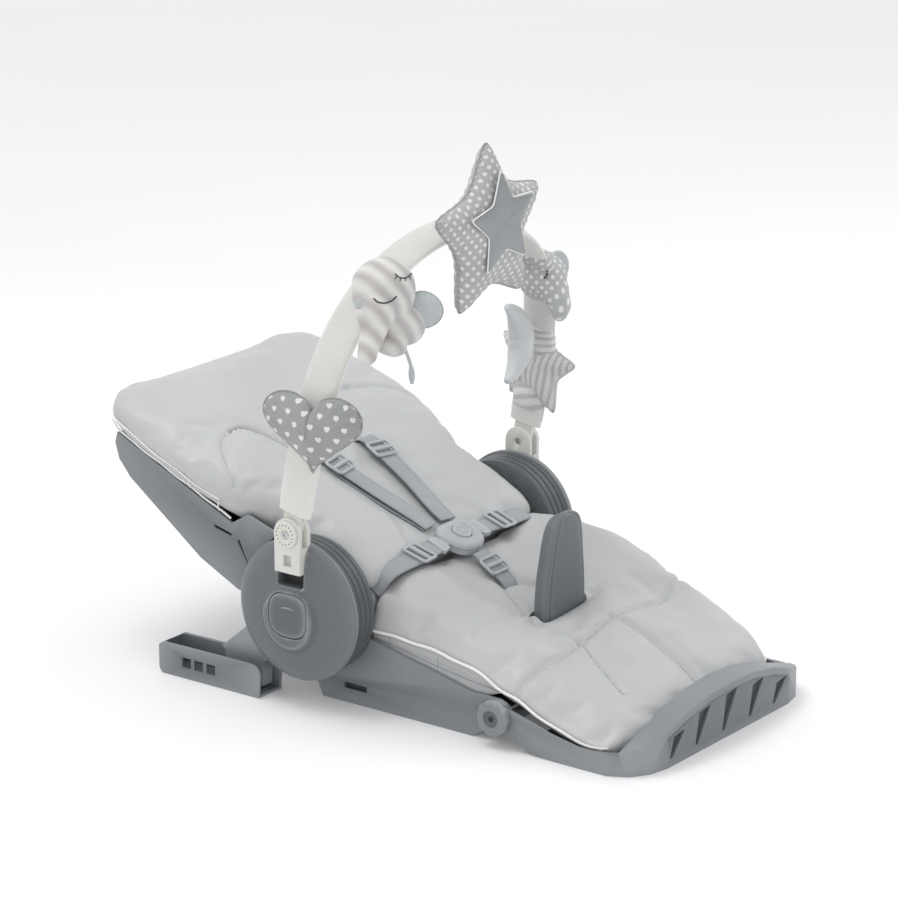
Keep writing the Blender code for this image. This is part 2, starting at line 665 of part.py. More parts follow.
def toy_bar_arch():
    """The fabric-covered band, with a tang at each end that turns in its clip."""
    arch = arch_band("toy_bar_arch", BAND_HALF_WIDTH, BAND_HALF_THICKNESS, "white_cloth")
    tangs = []
    for side in SIDES.values():
        tang = arc((HUB_Y, BAR_PIVOT_Z), 0.0125, 180, 360, 8)
        top = [on_bar(0, 0.032, -0.0125), on_bar(0, 0.032, 0.0125)]
        tang = tang + [(p.y, p.z) for p in top]
        piece = prism_x("tang", tang, side * 0.2148, side * 0.2232, "ivory_plastic")
        tangs.append(cut(piece, disc_x("bore", (HUB_Y, BAR_PIVOT_Z), 0.0044, side * 0.2, side * 0.24,
                                       "ivory_plastic", 16)))
    return smooth(join(arch, *tangs), 40)


def toy_bar_clip(side_name, side):
    """A fork that drops into the hub cover's socket."""
    centre = (HUB_Y, BAR_PIVOT_Z)
    outline = [(HUB_Y - 0.018, 0.162), (HUB_Y + 0.018, 0.162)]
    outline += arc(centre, 0.018, 0, 180, 12)
    clip = prism_x("toy_bar_clip_" + side_name, outline, *mirrored(side, 0.209, 0.229), "ivory_plastic")
    cutters = [box("fork", (min(side * 0.2144, side * 0.2236), HUB_Y - 0.03, 0.192),
                   (max(side * 0.2144, side * 0.2236), HUB_Y + 0.03, 0.24), "ivory_plastic"),
               disc_x("pin_hole", centre, 0.0044, *mirrored(side, 0.2, 0.24), "ivory_plastic", 16)]
    low, high = mirrored(side, 0.2236, 0.24)
    cutters.append(box("window", (low, HUB_Y - 0.0055, 0.170), (high, HUB_Y + 0.0055, 0.183),
                       "ivory_plastic"))
    return cut(clip, *cutters)


def ratchet_disc(side_name, side):
    """A toothed knob on the outside of the clip, with the pin that the arch turns on."""
    centre = (HUB_Y, BAR_PIVOT_Z)
    teeth = []
    for i in range(32):
        radius = 0.0160 if i % 2 else 0.0150
        a = 2 * math.pi * i / 32
        teeth.append((centre[0] + radius * math.cos(a), centre[1] + radius * math.sin(a)))
    disc = prism_x("ratchet_disc_" + side_name, teeth, *mirrored(side, 0.2294, 0.2330), "ivory_plastic")
    pin = disc_x("pin", centre, 0.0040, *mirrored(side, 0.2092, 0.2300), "ivory_plastic", 16)
    recess = disc_x("recess", centre, 0.0055, *mirrored(side, 0.2316, 0.24), "ivory_plastic", 16)
    return cut(join(disc, pin), recess)


# ---------------------------------------------------------------- toys

def star_outline(outer, inner, turn=90, tip=9):
    points = []
    for arm in range(5):
        middle = turn + arm * 72
        for offset, radius in ((-tip, outer * 0.93), (0, outer), (tip, outer * 0.93), (36, inner)):
            a = math.radians(middle + offset)
            points.append((radius * math.cos(a), radius * math.sin(a)))
    return points


def heart_outline(width, flatten=0.84, count=26):
    points = []
    for i in range(count):
        t = 2 * math.pi * i / count
        x = 16 * math.sin(t) ** 3
        y = 13 * math.cos(t) - 5 * math.cos(2 * t) - 2 * math.cos(3 * t) - math.cos(4 * t)
        points.append((x * width / 32, (y + 2.5) * flatten * width / 32))
    return points


def pillow(name, outline, thickness, place, material):
    """A flat cut-out puffed up on both faces."""
    steps = ((0.62, -1.0), (0.9, -0.72), (1.0, 0.0), (0.9, 0.72), (0.62, 1.0))
    rings = []
    for scale, out in steps:
        rings.append([place(u * scale, v * scale, out * thickness / 2) for u, v in outline])
    return smooth(loft(name, rings, material), 60)


def facing(centre, normal_angle):
    """A placer for a toy whose front looks along a level direction, given in degrees from +X."""
    a = math.radians(normal_angle)
    normal = Vector((math.cos(a), math.sin(a), 0))
    across = Vector((-math.sin(a), math.cos(a), 0))
    return lambda u, v, out: centre + across * u + Vector((0, 0, v)) + normal * out


def ellipsoid(name, centre, radii, material, spin=None):
    bm = bmesh.new()
    bmesh.ops.create_uvsphere(bm, u_segments=10, v_segments=7, radius=1.0)
    turn = spin or Matrix.Identity(3)
    for vert in bm.verts:
        scaled = Vector((vert.co.x * radii[0], vert.co.y * radii[1], vert.co.z * radii[2]))
        vert.co = Vector(centre) + turn @ scaled
    return make_object(name, bm, material)


def shift_to_reach(piece, sign):
    """Slide a toy sideways until it reaches exactly as far out as the other side's toy."""
    reach = max(sign * vert.co.x for vert in piece.data.vertices)
    for vert in piece.data.vertices:
        vert.co.x += sign * (TOY_REACH - reach)
    return piece


def thread(toy):
    """Open a passage through a toy for the band that it is threaded on."""
    clearance = 0.0008
    return cut(toy, arch_band("passage", BAND_HALF_WIDTH + clearance, BAND_HALF_THICKNESS + clearance,
                              "white_cloth", 24))


def heart_toy():
    outline = heart_outline(0.128)
    heart = pillow("heart_toy", outline, 0.036, facing(Vector((-0.224, HUB_Y - 0.036, 0.330)), 188),
                   "grey_plush")
    return thread(shift_to_reach(heart, -1))


def elephant_toy():
    """Head, trunk and body of the larger plush, threaded on the arch's right shoulder."""
    tilt = Matrix.Rotation(math.radians(30), 3, "Y")
    head = ellipsoid("elephant_toy", (-0.138, HUB_Y - 0.064, 0.484), (0.048, 0.036, 0.044), "grey_plush")
    trunk = ellipsoid("trunk", (-0.172, HUB_Y - 0.078, 0.440), (0.017, 0.018, 0.040), "grey_plush", tilt)
    body = ellipsoid("body", (-0.104, HUB_Y - 0.070, 0.428), (0.048, 0.028, 0.036), "grey_plush", tilt)
    ear = ellipsoid("ear", (-0.088, HUB_Y - 0.068, 0.460), (0.014, 0.016, 0.026), "grey_plush")
    return smooth(thread(join(head, trunk, body, ear)), 60)


def small_elephant_toy():
    head = ellipsoid("small_elephant_toy", (0.190, HUB_Y - 0.048, 0.424), (0.030, 0.031, 0.030),
                     "grey_plush")
    trunk = ellipsoid("small_trunk", (0.190, HUB_Y - 0.074, 0.400), (0.013, 0.014, 0.028), "grey_plush")
    ear = ellipsoid("small_ear", (0.224, HUB_Y - 0.050, 0.426), (0.010, 0.015, 0.018), "grey_plush")
    return smooth(thread(join(head, trunk, ear)), 60)


def moon_toy():
    """A crescent of round section, fattest in its middle."""
    centre = Vector((0.134, HUB_Y - 0.026, 0.352))
    rings = []
    for i in range(13):
        a = math.radians(-62 + 124 * i / 12)
        thick = 0.004 + 0.013 * math.cos(a * 1.4)
        away = Vector((math.cos(a), 0, math.sin(a)))
        rings.append([centre + away * (0.046 + thick * math.cos(t)) + Vector((0, thick * math.sin(t), 0))
                      for t in (2 * math.pi * k / 10 for k in range(10))])
    return smooth(loft("moon_toy", rings, "grey_plush"), 60)


def toys():
    star_centre = Vector((-0.003, HUB_Y - 0.110, 0.526))
    mirror_centre = star_centre + Vector((0, -0.0235, 0.012))
    star = pillow("star_toy", star_outline(0.100, 0.050, 93), 0.042, facing(star_centre, 270),
                  "grey_plush")
    mirror = pillow("star_mirror", star_outline(0.054, 0.025, 96, 6), 0.003, facing(mirror_centre, 270),
                    "mirror_film")
    striped = pillow("striped_star_toy", star_outline(0.060, 0.030, 100), 0.036,
                     facing(Vector((0.224, HUB_Y - 0.020, 0.306)), 352), "white_cloth")
    return [heart_toy(), star, mirror, elephant_toy(), small_elephant_toy(), moon_toy(),
            thread(shift_to_reach(striped, 1))]


# ---------------------------------------------------------------- assembly

def attach(pieces, empty_name, location):
    """Parent the pieces to an empty that stands on their joint's axis."""
    empty = bpy.data.objects.new(empty_name, None)
    empty.location = location
    bpy.context.collection.objects.link(empty)
    for piece in pieces:
        piece.parent = empty
        piece.matrix_parent_inverse = Matrix.Translation(location).inverted()


def build():
    clear_scene()
    hub = Vector((0, HUB_Y, HUB_Z))
    base = [base_shell(), seat_pad(), knee_pad(), crease_pad(), buckle_housing(), crotch_strap()]
    back = [backrest_shell(), backrest_pad(), pivot_shaft()]
    leg = [leg_rest_tray(), leg_rest_pad()]
    bar = [toy_bar_arch(), *toys()]
    clips = []
    for side_name, side in SIDES.items():
        base += [hub_housing(side_name, side), hub_cover(side_name, side), hinge_cap(side_name, side),
                 button_spring(side_name, side), waist_strap(side_name, side)]
        back += [recline_ring(side_name, side), shoulder_strap(side_name, side)]
        clips.append(toy_bar_clip(side_name, side))
        bar.append(ratchet_disc(side_name, side))
        attach([recline_button(side_name, side), lock_gear(side_name, side)],
               "button_axis_" + side_name, hub + Vector((side * 0.2, 0, 0)))
        attach([rear_foot(side_name, side)], "foot_origin_" + side_name,
               Vector((side * 0.2, HUB_Y + 0.12, 0)))
        attach([buckle_tongue(side_name, side)], "tongue_origin_" + side_name,
               BUCKLE + Vector((side * 0.03, 0, 0)))
    for name, piece in adjusters().items():
        attach([piece], name + "_origin", sum((Vector(c) for c in piece.bound_box), Vector()) / 8)
    attach(back, "recline_axis", hub)
    attach(leg, "leg_rest_axis", Vector((0, LEG_HINGE_Y, LEG_HINGE_Z)))
    pivot = Vector((0, HUB_Y, BAR_PIVOT_Z))
    attach(bar, "toy_bar_axis", pivot)
    attach(clips, "toy_bar_clip_origin", pivot)
    attach([buckle_button()], "buckle_button_axis", BUCKLE)
    attach([crotch_post()], "post_origin", Vector((0, HUB_Y - 0.207, 0.052)))
    attach(base, "base_origin", Vector((0, 0, 0)))


build()
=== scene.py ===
"""Looks of the bouncer seat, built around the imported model.

Metres, +Z up, +Y towards the head end; the child's right is -X.
Outlines are in millimetres: y is measured from the hub axis and z from the floor, or, on the backrest,
s runs along the back and n out of it, both from the hub axis.
"""
import json
import math

import bmesh
import bpy
import numpy as np
from mathutils import Matrix, Vector
from mathutils.bvhtree import BVHTree
from mathutils.noise import noise


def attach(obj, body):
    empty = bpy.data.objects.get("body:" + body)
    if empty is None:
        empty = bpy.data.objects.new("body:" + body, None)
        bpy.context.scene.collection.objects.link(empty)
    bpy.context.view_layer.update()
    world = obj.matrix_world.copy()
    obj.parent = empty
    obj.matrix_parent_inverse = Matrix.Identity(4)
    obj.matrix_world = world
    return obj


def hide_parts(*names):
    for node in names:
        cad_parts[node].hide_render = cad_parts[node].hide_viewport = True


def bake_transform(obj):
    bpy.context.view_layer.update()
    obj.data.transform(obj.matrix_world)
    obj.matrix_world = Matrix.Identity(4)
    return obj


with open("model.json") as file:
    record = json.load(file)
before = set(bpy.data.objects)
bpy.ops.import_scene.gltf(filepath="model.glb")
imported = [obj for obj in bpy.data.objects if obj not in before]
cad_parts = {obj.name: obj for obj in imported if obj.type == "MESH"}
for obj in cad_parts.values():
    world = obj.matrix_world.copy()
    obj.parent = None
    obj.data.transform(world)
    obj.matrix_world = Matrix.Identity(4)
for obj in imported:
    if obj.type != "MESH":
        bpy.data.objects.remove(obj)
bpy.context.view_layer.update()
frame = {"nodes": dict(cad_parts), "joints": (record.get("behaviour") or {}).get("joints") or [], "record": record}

MM = 0.001
JOINTS = {joint["name"]: joint for joint in frame["joints"]}
HUB_Y, HUB_Z = JOINTS["backrest_recline"]["pos_m"][1:]
LEG_HINGE_Y, LEG_HINGE_Z = JOINTS["leg_rest_tilt"]["pos_m"][1:]
BAR_Z = JOINTS["toy_bar_tilt"]["pos_m"][2]
BACK_ANGLE = math.radians(24.4)
BAR_LEAN = math.radians(11.0)
HARNESS_TILT = math.radians(22.0)
BUCKLE = Vector((0.0, HUB_Y - 0.068, 0.158))
BAND_HALF_WIDTH = 0.0220
BAND_HALF_THICKNESS = 0.0062
SIDES = {"right": -1, "left": 1}
SUBPARTS = {part["node"]: part["material_slot"] for part in frame["record"]["subparts"]}
BODY_OF = {node: body for body, nodes in frame["record"]["behaviour"]["bodies"].items() for node in nodes}


# ---------------------------------------------------------------- coordinates

def hub(y, z, x=0.0):
    """Millimetres from the hub axis in Y and from the floor in Z, to a point."""
    return Vector((x * MM, HUB_Y + y * MM, z * MM))


def back(s, n, x=0.0):
    """Millimetres along the backrest and out of it, to a point."""
    cos_a, sin_a = math.cos(BACK_ANGLE), math.sin(BACK_ANGLE)
    y = HUB_Y + (s * cos_a - n * sin_a) * MM
    return Vector((x * MM, y, HUB_Z + (s * sin_a + n * cos_a) * MM))


def in_harness(x, along, out):
    """A point in the buckle's tilted plane, in millimetres."""
    cos_t, sin_t = math.cos(HARNESS_TILT), math.sin(HARNESS_TILT)
    return BUCKLE + Vector((x, along * cos_t - out * sin_t, along * sin_t + out * cos_t)) * MM


def on_bar(x, up, forward=0.0):
    """A point in the arch's leaning plane: across, up from the pivots, and out in front, in metres."""
    y = HUB_Y - up * math.sin(BAR_LEAN) - forward * math.cos(BAR_LEAN)
    return Vector((x, y, BAR_Z + up * math.cos(BAR_LEAN) - forward * math.sin(BAR_LEAN)))


def arch_point(t):
    """The arch's middle line, t from -1 at the right foot to 1 at the left one."""
    a = math.pi / 2 * t
    half_width = 0.219 + 0.012 * math.cos(a) ** 2 * math.sin(abs(a)) * 2
    x = half_width * blunt(math.sin(a), 0.92)
    return x, 0.024 + 0.296 * max(math.cos(a), 0.0) ** 0.72


def curve(points, x):
    """A smooth reading of (x, value) points that never overshoots them."""
    xs = [p[0] for p in points]
    vs = [p[1] for p in points]
    if xs[0] > xs[-1]:
        xs, vs = xs[::-1], vs[::-1]
    x = min(max(x, xs[0]), xs[-1])
    i = min(max(int(np.searchsorted(xs, x)) - 1, 0), len(xs) - 2)
    slopes = [(b - a) / (q - p) for a, b, p, q in zip(vs, vs[1:], xs, xs[1:])]

    def tangent(k):
        if k == 0 or k == len(xs) - 1:
            return slopes[min(k, len(slopes) - 1)]
        before, after = slopes[k - 1], slopes[k]
        return 0.0 if before * after <= 0 else 2 * before * after / (before + after)
    width = xs[i + 1] - xs[i]
    t = (x - xs[i]) / width
    low, high = tangent(i) * width, tangent(i + 1) * width
    rise = vs[i + 1] - vs[i]
    return vs[i] + t * low + t * t * (3 * rise - 2 * low - high) + t * t * t * (low + high - 2 * rise)


def spline(points, count, closed=False):
    """A Catmull-Rom curve through points, with count steps for each stretch."""
    points = [Vector(p) for p in points]
    total = len(points)
    made = []
    for i in range(total if closed else total - 1):
        if closed:
            p0, p1, p2, p3 = (points[(i + k) % total] for k in (-1, 0, 1, 2))
        else:
            p1, p2 = points[i], points[i + 1]
            p0 = points[i - 1] if i else p1 * 2 - p2
            p3 = points[i + 2] if i + 2 < total else p2 * 2 - p1
        for k in range(count):
            t = k / count
            made.append(0.5 * (p1 * 2 + (p2 - p0) * t + (p0 * 2 - p1 * 5 + p2 * 4 - p3) * t * t
                               + (p1 * 3 - p0 - p2 * 3 + p3) * t ** 3))
    if not closed:
        made.append(points[-1])
    return made


def step(low, high, x):
    """0 below low, 1 above high, smooth between."""
    t = min(max((x - low) / (high - low), 0.0), 1.0)
    return t * t * (3 - 2 * t)


def blunt(value, power):
    """A power that keeps the sign, for outlines between an ellipse and a rectangle."""
    return math.copysign(abs(value) ** power, value)


def turns(count):
    """Angles evenly round a circle."""
    return [2 * math.pi * k / count for k in range(count)]


def oval(half_width, half_height, count):
    return [(half_width * math.cos(a), half_height * math.sin(a)) for a in turns(count)]


def mirrored(path):
    return [(-x, y) for x, y in path]


def about_x(side, x, r, a, centre=(HUB_Y, HUB_Z)):
    """A point round an axis along X; x and r are in millimetres, the axis in metres."""
    return Vector((side * x * MM, centre[0] + r * MM * math.cos(a), centre[1] + r * MM * math.sin(a)))


def polygon_share(a, sides):
    """How far out a polygon's edge lies at an angle, as a share of its corners' radius."""
    return math.cos(math.pi / sides) / math.cos(a % (2 * math.pi / sides) - math.pi / sides)


# ---------------------------------------------------------------- materials

def add_node(tree, kind, inputs, **settings):
    made = tree.nodes.new("ShaderNode" + kind)
    for key, value in settings.items():
        setattr(made, key, value)
    for key, value in inputs.items():
        if isinstance(value, bpy.types.NodeSocket):
            tree.links.new(value, made.inputs[key])
        else:
            made.inputs[key].default_value = value
    return made.outputs


def calc(tree, operation, a, b=0.0):
    return add_node(tree, "Math", {0: a, 1: b}, operation=operation)[0]


def mix(tree, share, a, b):
    def as_colour(c):
        return (*c, 1.0) if isinstance(c, tuple) and len(c) == 3 else c
    return add_node(tree, "Mix", {0: share, 6: as_colour(a), 7: as_colour(b)}, data_type="RGBA")[2]


def shade(colour, factor):
    return tuple(min(c * factor, 1.0) for c in colour)


def noise_map(tree, where, scale, detail=3.0):
    return add_node(tree, "TexNoise", {"Vector": where, "Scale": scale, "Detail": detail})["Fac"]


class Surface:
    """A Principled material whose colour, roughness and relief are built up in steps."""

    def __init__(self, name, colour, roughness, metallic=0.0, uv=False, **constants):
        self.made = bpy.data.materials.new(name)
        self.made.use_nodes = True
        self.tree = self.made.node_tree
        self.shader = self.tree.nodes["Principled BSDF"]
        self.shader.inputs["Metallic"].default_value = metallic
        self.shader.inputs["Roughness"].default_value = roughness
        for key, value in constants.items():
            self.shader.inputs[key.replace("_", " ")].default_value = value
        self.where = add_node(self.tree, "TexCoord", {})["UV" if uv else "Object"]
        self.place = add_node(self.tree, "TexCoord", {})["Object"]
        self.colour = colour
        self.bump = None

    def vary(self, scale, amount):
        """Cloudy light and dark patches."""
        cloud = noise_map(self.tree, self.place, scale, 4.0)
        share = add_node(self.tree, "MapRange", {0: cloud, 1: 0.3, 2: 0.7})[0]
        base = self.colour
        if isinstance(base, tuple):
            self.colour = mix(self.tree, share, shade(base, 1 - amount), shade(base, 1 + amount))
        else:
            dark = mix(self.tree, 1.0, base, base)
            self.colour = add_node(self.tree, "HueSaturation", {
                "Value": calc(self.tree, "ADD", calc(self.tree, "MULTIPLY", share, 2 * amount), 1 - amount),
                "Color": dark})[0]
        return self

    def print_on(self, share, colour):
        """Another colour where share is 1."""
        self.colour = mix(self.tree, share, self.colour, colour)
        return self

    def edge_light_and_hollow_shade(self, amount):
        """Painted highlight: paler along raised edges; painted shade: a little darker in hollows."""
        point = add_node(self.tree, "NewGeometry", {})["Pointiness"]
        share = add_node(self.tree, "MapRange", {0: point, 1: 0.5, 2: 0.56, 3: 0.0, 4: amount})[0]
        # Pale colour on raised edges is a painted highlight, and near-black in hollows is painted shade.
        dark = add_node(self.tree, "MapRange", {0: point, 1: 0.5, 2: 0.44, 3: 0.0, 4: amount})[0]
        self.colour = mix(self.tree, share, self.colour, (0.6, 0.62, 0.64))
        self.colour = mix(self.tree, dark, self.colour, (0.02, 0.02, 0.02))
        return self

    def rough(self, scale, low, high):
        cloud = noise_map(self.tree, self.place, scale, 4.0)
        self.tree.links.new(add_node(self.tree, "MapRange", {0: cloud, 1: 0.3, 2: 0.7, 3: low, 4: high})[0],
                            self.shader.inputs["Roughness"])
        return self

    def relief(self, height, distance, strength=1.0):
        inputs = {"Height": height, "Distance": distance, "Strength": strength}
        if self.bump is not None:
            inputs["Normal"] = self.bump
        self.bump = add_node(self.tree, "Bump", inputs)[0]
        return self

    def grain(self, scale, distance, strength=1.0, detail=3.0):
        return self.relief(noise_map(self.tree, self.place, scale, detail), distance, strength)

    def pebble(self, size, distance, strength=1.0):
        cells = add_node(self.tree, "TexVoronoi", {"Vector": self.place, "Scale": 1 / size},
                         feature="SMOOTH_F1")["Distance"]
        return self.relief(cells, distance, strength)

    def weave(self, pitch, distance, strength=1.0):
        """Over and under threads, from the piece's own flat coordinates."""
        axes = add_node(self.tree, "SeparateXYZ", {0: self.where})
        waves = [calc(self.tree, "SINE", calc(self.tree, "MULTIPLY", axes[k], 2 * math.pi / pitch))
                 for k in (0, 1)]
        return self.relief(calc(self.tree, "MULTIPLY", *waves), distance, strength)

    def done(self):
        socket = self.shader.inputs["Base Color"]
        if isinstance(self.colour, tuple):
            socket.default_value = (*self.colour, 1.0)
        else:
            self.tree.links.new(self.colour, socket)
        if self.bump is not None:
            self.tree.links.new(self.bump, self.shader.inputs["Normal"])
        return self.made


def dots(surface, pitch, radius):
    """1 inside each dot of a staggered print."""
    tree = surface.tree
    turned = add_node(tree, "Mapping", {"Vector": surface.where, "Rotation": (0, 0, math.radians(45)),
                                        "Scale": (1 / pitch, 1 / pitch, 1 / pitch)})[0]
    away = add_node(tree, "TexVoronoi", {"Vector": turned, "Scale": 1.0, "Randomness": 0.0},
                    voronoi_dimensions="2D")["Distance"]
    edge = radius / pitch
    return add_node(tree, "MapRange", {0: away, 1: edge * 1.15, 2: edge * 0.85})[0]


def hearts(surface, pitch_x, pitch_y, size):
    """1 inside each small heart; every other row is set off by half a pitch."""
    tree = surface.tree
    axes = add_node(tree, "SeparateXYZ", {0: surface.where})
    row = calc(tree, "FLOOR", calc(tree, "DIVIDE", axes[1], pitch_y))
    shift = calc(tree, "MULTIPLY", calc(tree, "PINGPONG", row, 1.0), 0.5)
    across = calc(tree, "SUBTRACT", calc(tree, "FRACT", calc(
        tree, "ADD", calc(tree, "DIVIDE", axes[0], pitch_x), shift)), 0.5)
    up = calc(tree, "SUBTRACT", calc(tree, "FRACT", calc(tree, "DIVIDE", axes[1], pitch_y)), 0.45)
    x = calc(tree, "MULTIPLY", across, pitch_x / size)
    y = calc(tree, "MULTIPLY", up, pitch_y / size)
    square_x = calc(tree, "MULTIPLY", x, x)
    round_part = calc(tree, "SUBTRACT", calc(tree, "ADD", square_x, calc(tree, "MULTIPLY", y, y)), 1.0)
    cube = calc(tree, "POWER", calc(tree, "ABSOLUTE", round_part), 3.0)
    cube = calc(tree, "MULTIPLY", cube, calc(tree, "SIGN", round_part))
    notch = calc(tree, "MULTIPLY", square_x, calc(tree, "MULTIPLY", y, calc(tree, "MULTIPLY", y, y)))
    return calc(tree, "LESS_THAN", calc(tree, "SUBTRACT", cube, notch), 0.0)


def stripes(surface, direction, pitch, share=0.5, soft=0.15):
    """1 on each stripe; stripes run square to direction."""
    tree = surface.tree
    along = add_node(tree, "VectorMath", {0: surface.where, 1: direction}, operation="DOT_PRODUCT")["Value"]
    wobble = calc(tree, "MULTIPLY", noise_map(tree, surface.place, 40.0), pitch * 0.25)
    saw = calc(tree, "FRACT", calc(tree, "DIVIDE", calc(tree, "ADD", along, wobble), pitch))
    peak = calc(tree, "ABSOLUTE", calc(tree, "SUBTRACT", saw, 0.5))
    return add_node(tree, "MapRange", {0: peak, 1: share / 2 + soft / 2, 2: share / 2 - soft / 2})[0]


GREY = (0.132, 0.144, 0.152)
PALE_PRINT = (0.86, 0.86, 0.84)


def moulded_plastic(name, colour, roughness, edge_light_and_hollow_shade=0.35):
    surface = Surface(name, colour, roughness, Specular_IOR_Level=0.42)
    # The edge term paints highlights on raised edges and shade in hollows.
    surface.vary(7.0, 0.05).edge_light_and_hollow_shade(edge_light_and_hollow_shade).rough(45.0, roughness - 0.05, roughness + 0.06)
    return surface.grain(1500.0, 0.00012, 0.5).grain(260.0, 0.00008, 0.3).done()


def cover_materials():
    leather = Surface("leatherette_grain", (0.505, 0.516, 0.522), 0.42, Specular_IOR_Level=0.45,
                      Sheen_Weight=0.06, Sheen_Roughness=0.4)
    leather.vary(9.0, 0.035).rough(60.0, 0.38, 0.50)
    leather.grain(55.0, 0.0009, 0.35).grain(170.0, 0.0003, 0.4).pebble(0.0011, 0.00016, 0.6)
    gusset = Surface("leatherette_gusset", (0.45, 0.46, 0.466), 0.5, Specular_IOR_Level=0.4)
    gusset.vary(14.0, 0.06).grain(160.0, 0.0005, 0.5).pebble(0.0011, 0.00016, 0.6)
    web = Surface("webbing_weave", (0.43, 0.45, 0.465), 0.78, uv=True, Sheen_Weight=0.2)
    across = calc(web.tree, "ABSOLUTE", add_node(web.tree, "SeparateXYZ", {0: web.where})[1])
    selvedge = add_node(web.tree, "MapRange", {0: across, 1: 0.0098, 2: 0.0108})[0]
    web.print_on(selvedge, (0.36, 0.375, 0.39)).vary(25.0, 0.07)
    web.weave(0.0022, 0.0004).grain(900.0, 0.0002, 0.4)
    cotton = Surface("band_cotton", (0.80, 0.80, 0.765), 0.88, uv=True, Sheen_Weight=0.25)
    cotton.vary(12.0, 0.03).grain(45.0, 0.0016, 0.5).weave(0.0011, 0.00018)
    return {"leatherette": leather.done(), "gusset": gusset.done(), "webbing": web.done(),
            "white_cloth": cotton.done()}


def thread_materials():
    made = {}
    for key, name, colour, roughness, patch, amount, fibre, height in (
            ("seam_shadow", "seam_shadow", (0.25, 0.262, 0.272), 0.6, 150.0, 0.15, 900.0, 0.0003),
            ("piping", "piping_tape", (0.86, 0.86, 0.85), 0.6, 60.0, 0.05, 700.0, 0.0004),
            ("thread", "stitch_thread", (0.66, 0.675, 0.69), 0.7, 200.0, 0.08, 2500.0, 0.0002),
            ("dark_thread", "face_thread", (0.03, 0.03, 0.032), 0.7, 300.0, 0.2, 2500.0, 0.0002),
            ("plush_seam", "plush_seam", (0.36, 0.37, 0.36), 0.9, 120.0, 0.15, 1200.0, 0.0003)):
        made[key] = Surface(name, colour, roughness).vary(patch, amount).grain(fibre, height, 0.6).done()
    return made


def plush(name, colour, uv=False):
    return Surface(name, colour, 0.9, uv=uv, Sheen_Weight=0.3)


def plush_materials():
    heart = plush("heart_print", (0.375, 0.39, 0.375), uv=True)
    heart.print_on(hearts(heart, 0.0205, 0.0132, 0.0030), PALE_PRINT)
    dotted = plush("dot_print", (0.50, 0.52, 0.505), uv=True)
    dotted.print_on(dots(dotted, 0.0092, 0.0023), PALE_PRINT)
    for printed in (heart, dotted):
        printed.vary(30.0, 0.04).grain(90.0, 0.0012, 0.5).weave(0.0011, 0.00018)
    beige = plush("wide_stripe_print", (0.70, 0.685, 0.66))
    beige.print_on(stripes(beige, (0.78, -0.20, 0.58), 0.019, 0.5, 0.35), (0.47, 0.455, 0.44))
    beige.vary(30.0, 0.05).grain(80.0, 0.0016, 0.6).grain(700.0, 0.0003, 0.6)
    fine = plush("fine_stripe_print", (0.84, 0.84, 0.82), uv=True)
    fine.print_on(stripes(fine, (1.0, 0.25, 0.0), 0.0092, 0.42, 0.15), (0.60, 0.60, 0.585))
    fine.vary(30.0, 0.03).grain(80.0, 0.0014, 0.6).weave(0.0011, 0.00018)
    moon = plush("moon_cloth", (0.60, 0.62, 0.625))
    moon.vary(35.0, 0.06).grain(70.0, 0.0018, 0.6).grain(700.0, 0.0003, 0.6)
    ear = plush("ear_cloth", (0.50, 0.54, 0.55))
    ear.vary(35.0, 0.05).grain(110.0, 0.0014, 0.6).grain(700.0, 0.0003, 0.6)
    return {"heart_print": heart.done(), "dot_print": dotted.done(), "wide_stripes": beige.done(),
            "fine_stripes": fine.done(), "moon_cloth": moon.done(), "ear_cloth": ear.done()}


def mesh_lining():
    """Open netting: threads in two directions, with painted shade in the holes between them."""
    pitch = 0.0026
    lining = Surface("mesh_lining", (0.25, 0.265, 0.275), 0.85)
    tree = lining.tree
    grid = add_node(tree, "SeparateXYZ", {0: lining.place})
    threads = [calc(tree, "SINE", calc(tree, "MULTIPLY", grid[k], 2 * math.pi / pitch)) for k in (1, 2)]
    holes = calc(tree, "MULTIPLY", *threads)
    # The dark colour in the holes is painted shade for the space behind the netting.
    share = add_node(tree, "MapRange", {0: holes, 1: 0.0, 2: 0.5})[0]
    return lining.print_on(share, (0.10, 0.11, 0.12)).relief(holes, 0.0012).vary(120.0, 0.1).done()


def hard_materials():
    mirror = Surface("mirror_foil", (0.30, 0.315, 0.32), 0.2, 1.0)
    mirror.rough(50.0, 0.12, 0.22).grain(28.0, 0.0012, 0.35)
    steel = Surface("brushed_steel", (0.55, 0.55, 0.56), 0.3, 1.0)
    steel.vary(80.0, 0.1).rough(300.0, 0.22, 0.42).grain(1800.0, 0.00006, 0.5)
    return {
        "dark_plastic": moulded_plastic("moulded_grey", GREY, 0.40),
        # Near-black: painted shade in the slots, vents, holes, slit and button gap, and the hinge screw's dark
        # colour.
        "deep_plastic": moulded_plastic("black_plastic_and_painted_shade", (0.022, 0.024, 0.026), 0.6, 0.05),
        "light_plastic": moulded_plastic("moulded_light_grey", (0.43, 0.445, 0.46), 0.4, 0.3),
        "ivory_plastic": moulded_plastic("moulded_ivory", (0.70, 0.69, 0.645), 0.36, 0.12),
        "button_plastic": moulded_plastic("moulded_button", (0.118, 0.128, 0.136), 0.42),
        "mirror_film": mirror.done(), "steel": steel.done()}


MATERIALS = {**cover_materials(), **thread_materials(), **plush_materials(), **hard_materials(),
             "lining": mesh_lining()}


# ---------------------------------------------------------------- mesh building

def new_piece(name, verts, faces, material, uvs=None, sharp=35):
    mesh = bpy.data.meshes.new(name)
    mesh.from_pydata([tuple(v) for v in verts], [], [tuple(f) for f in faces])
    if uvs is not None:
        layer = mesh.uv_layers.new(name="UVMap")
        for loop in mesh.loops:
            layer.data[loop.index].uv = uvs[loop.vertex_index]
    return finish_mesh(name, mesh, material, sharp)


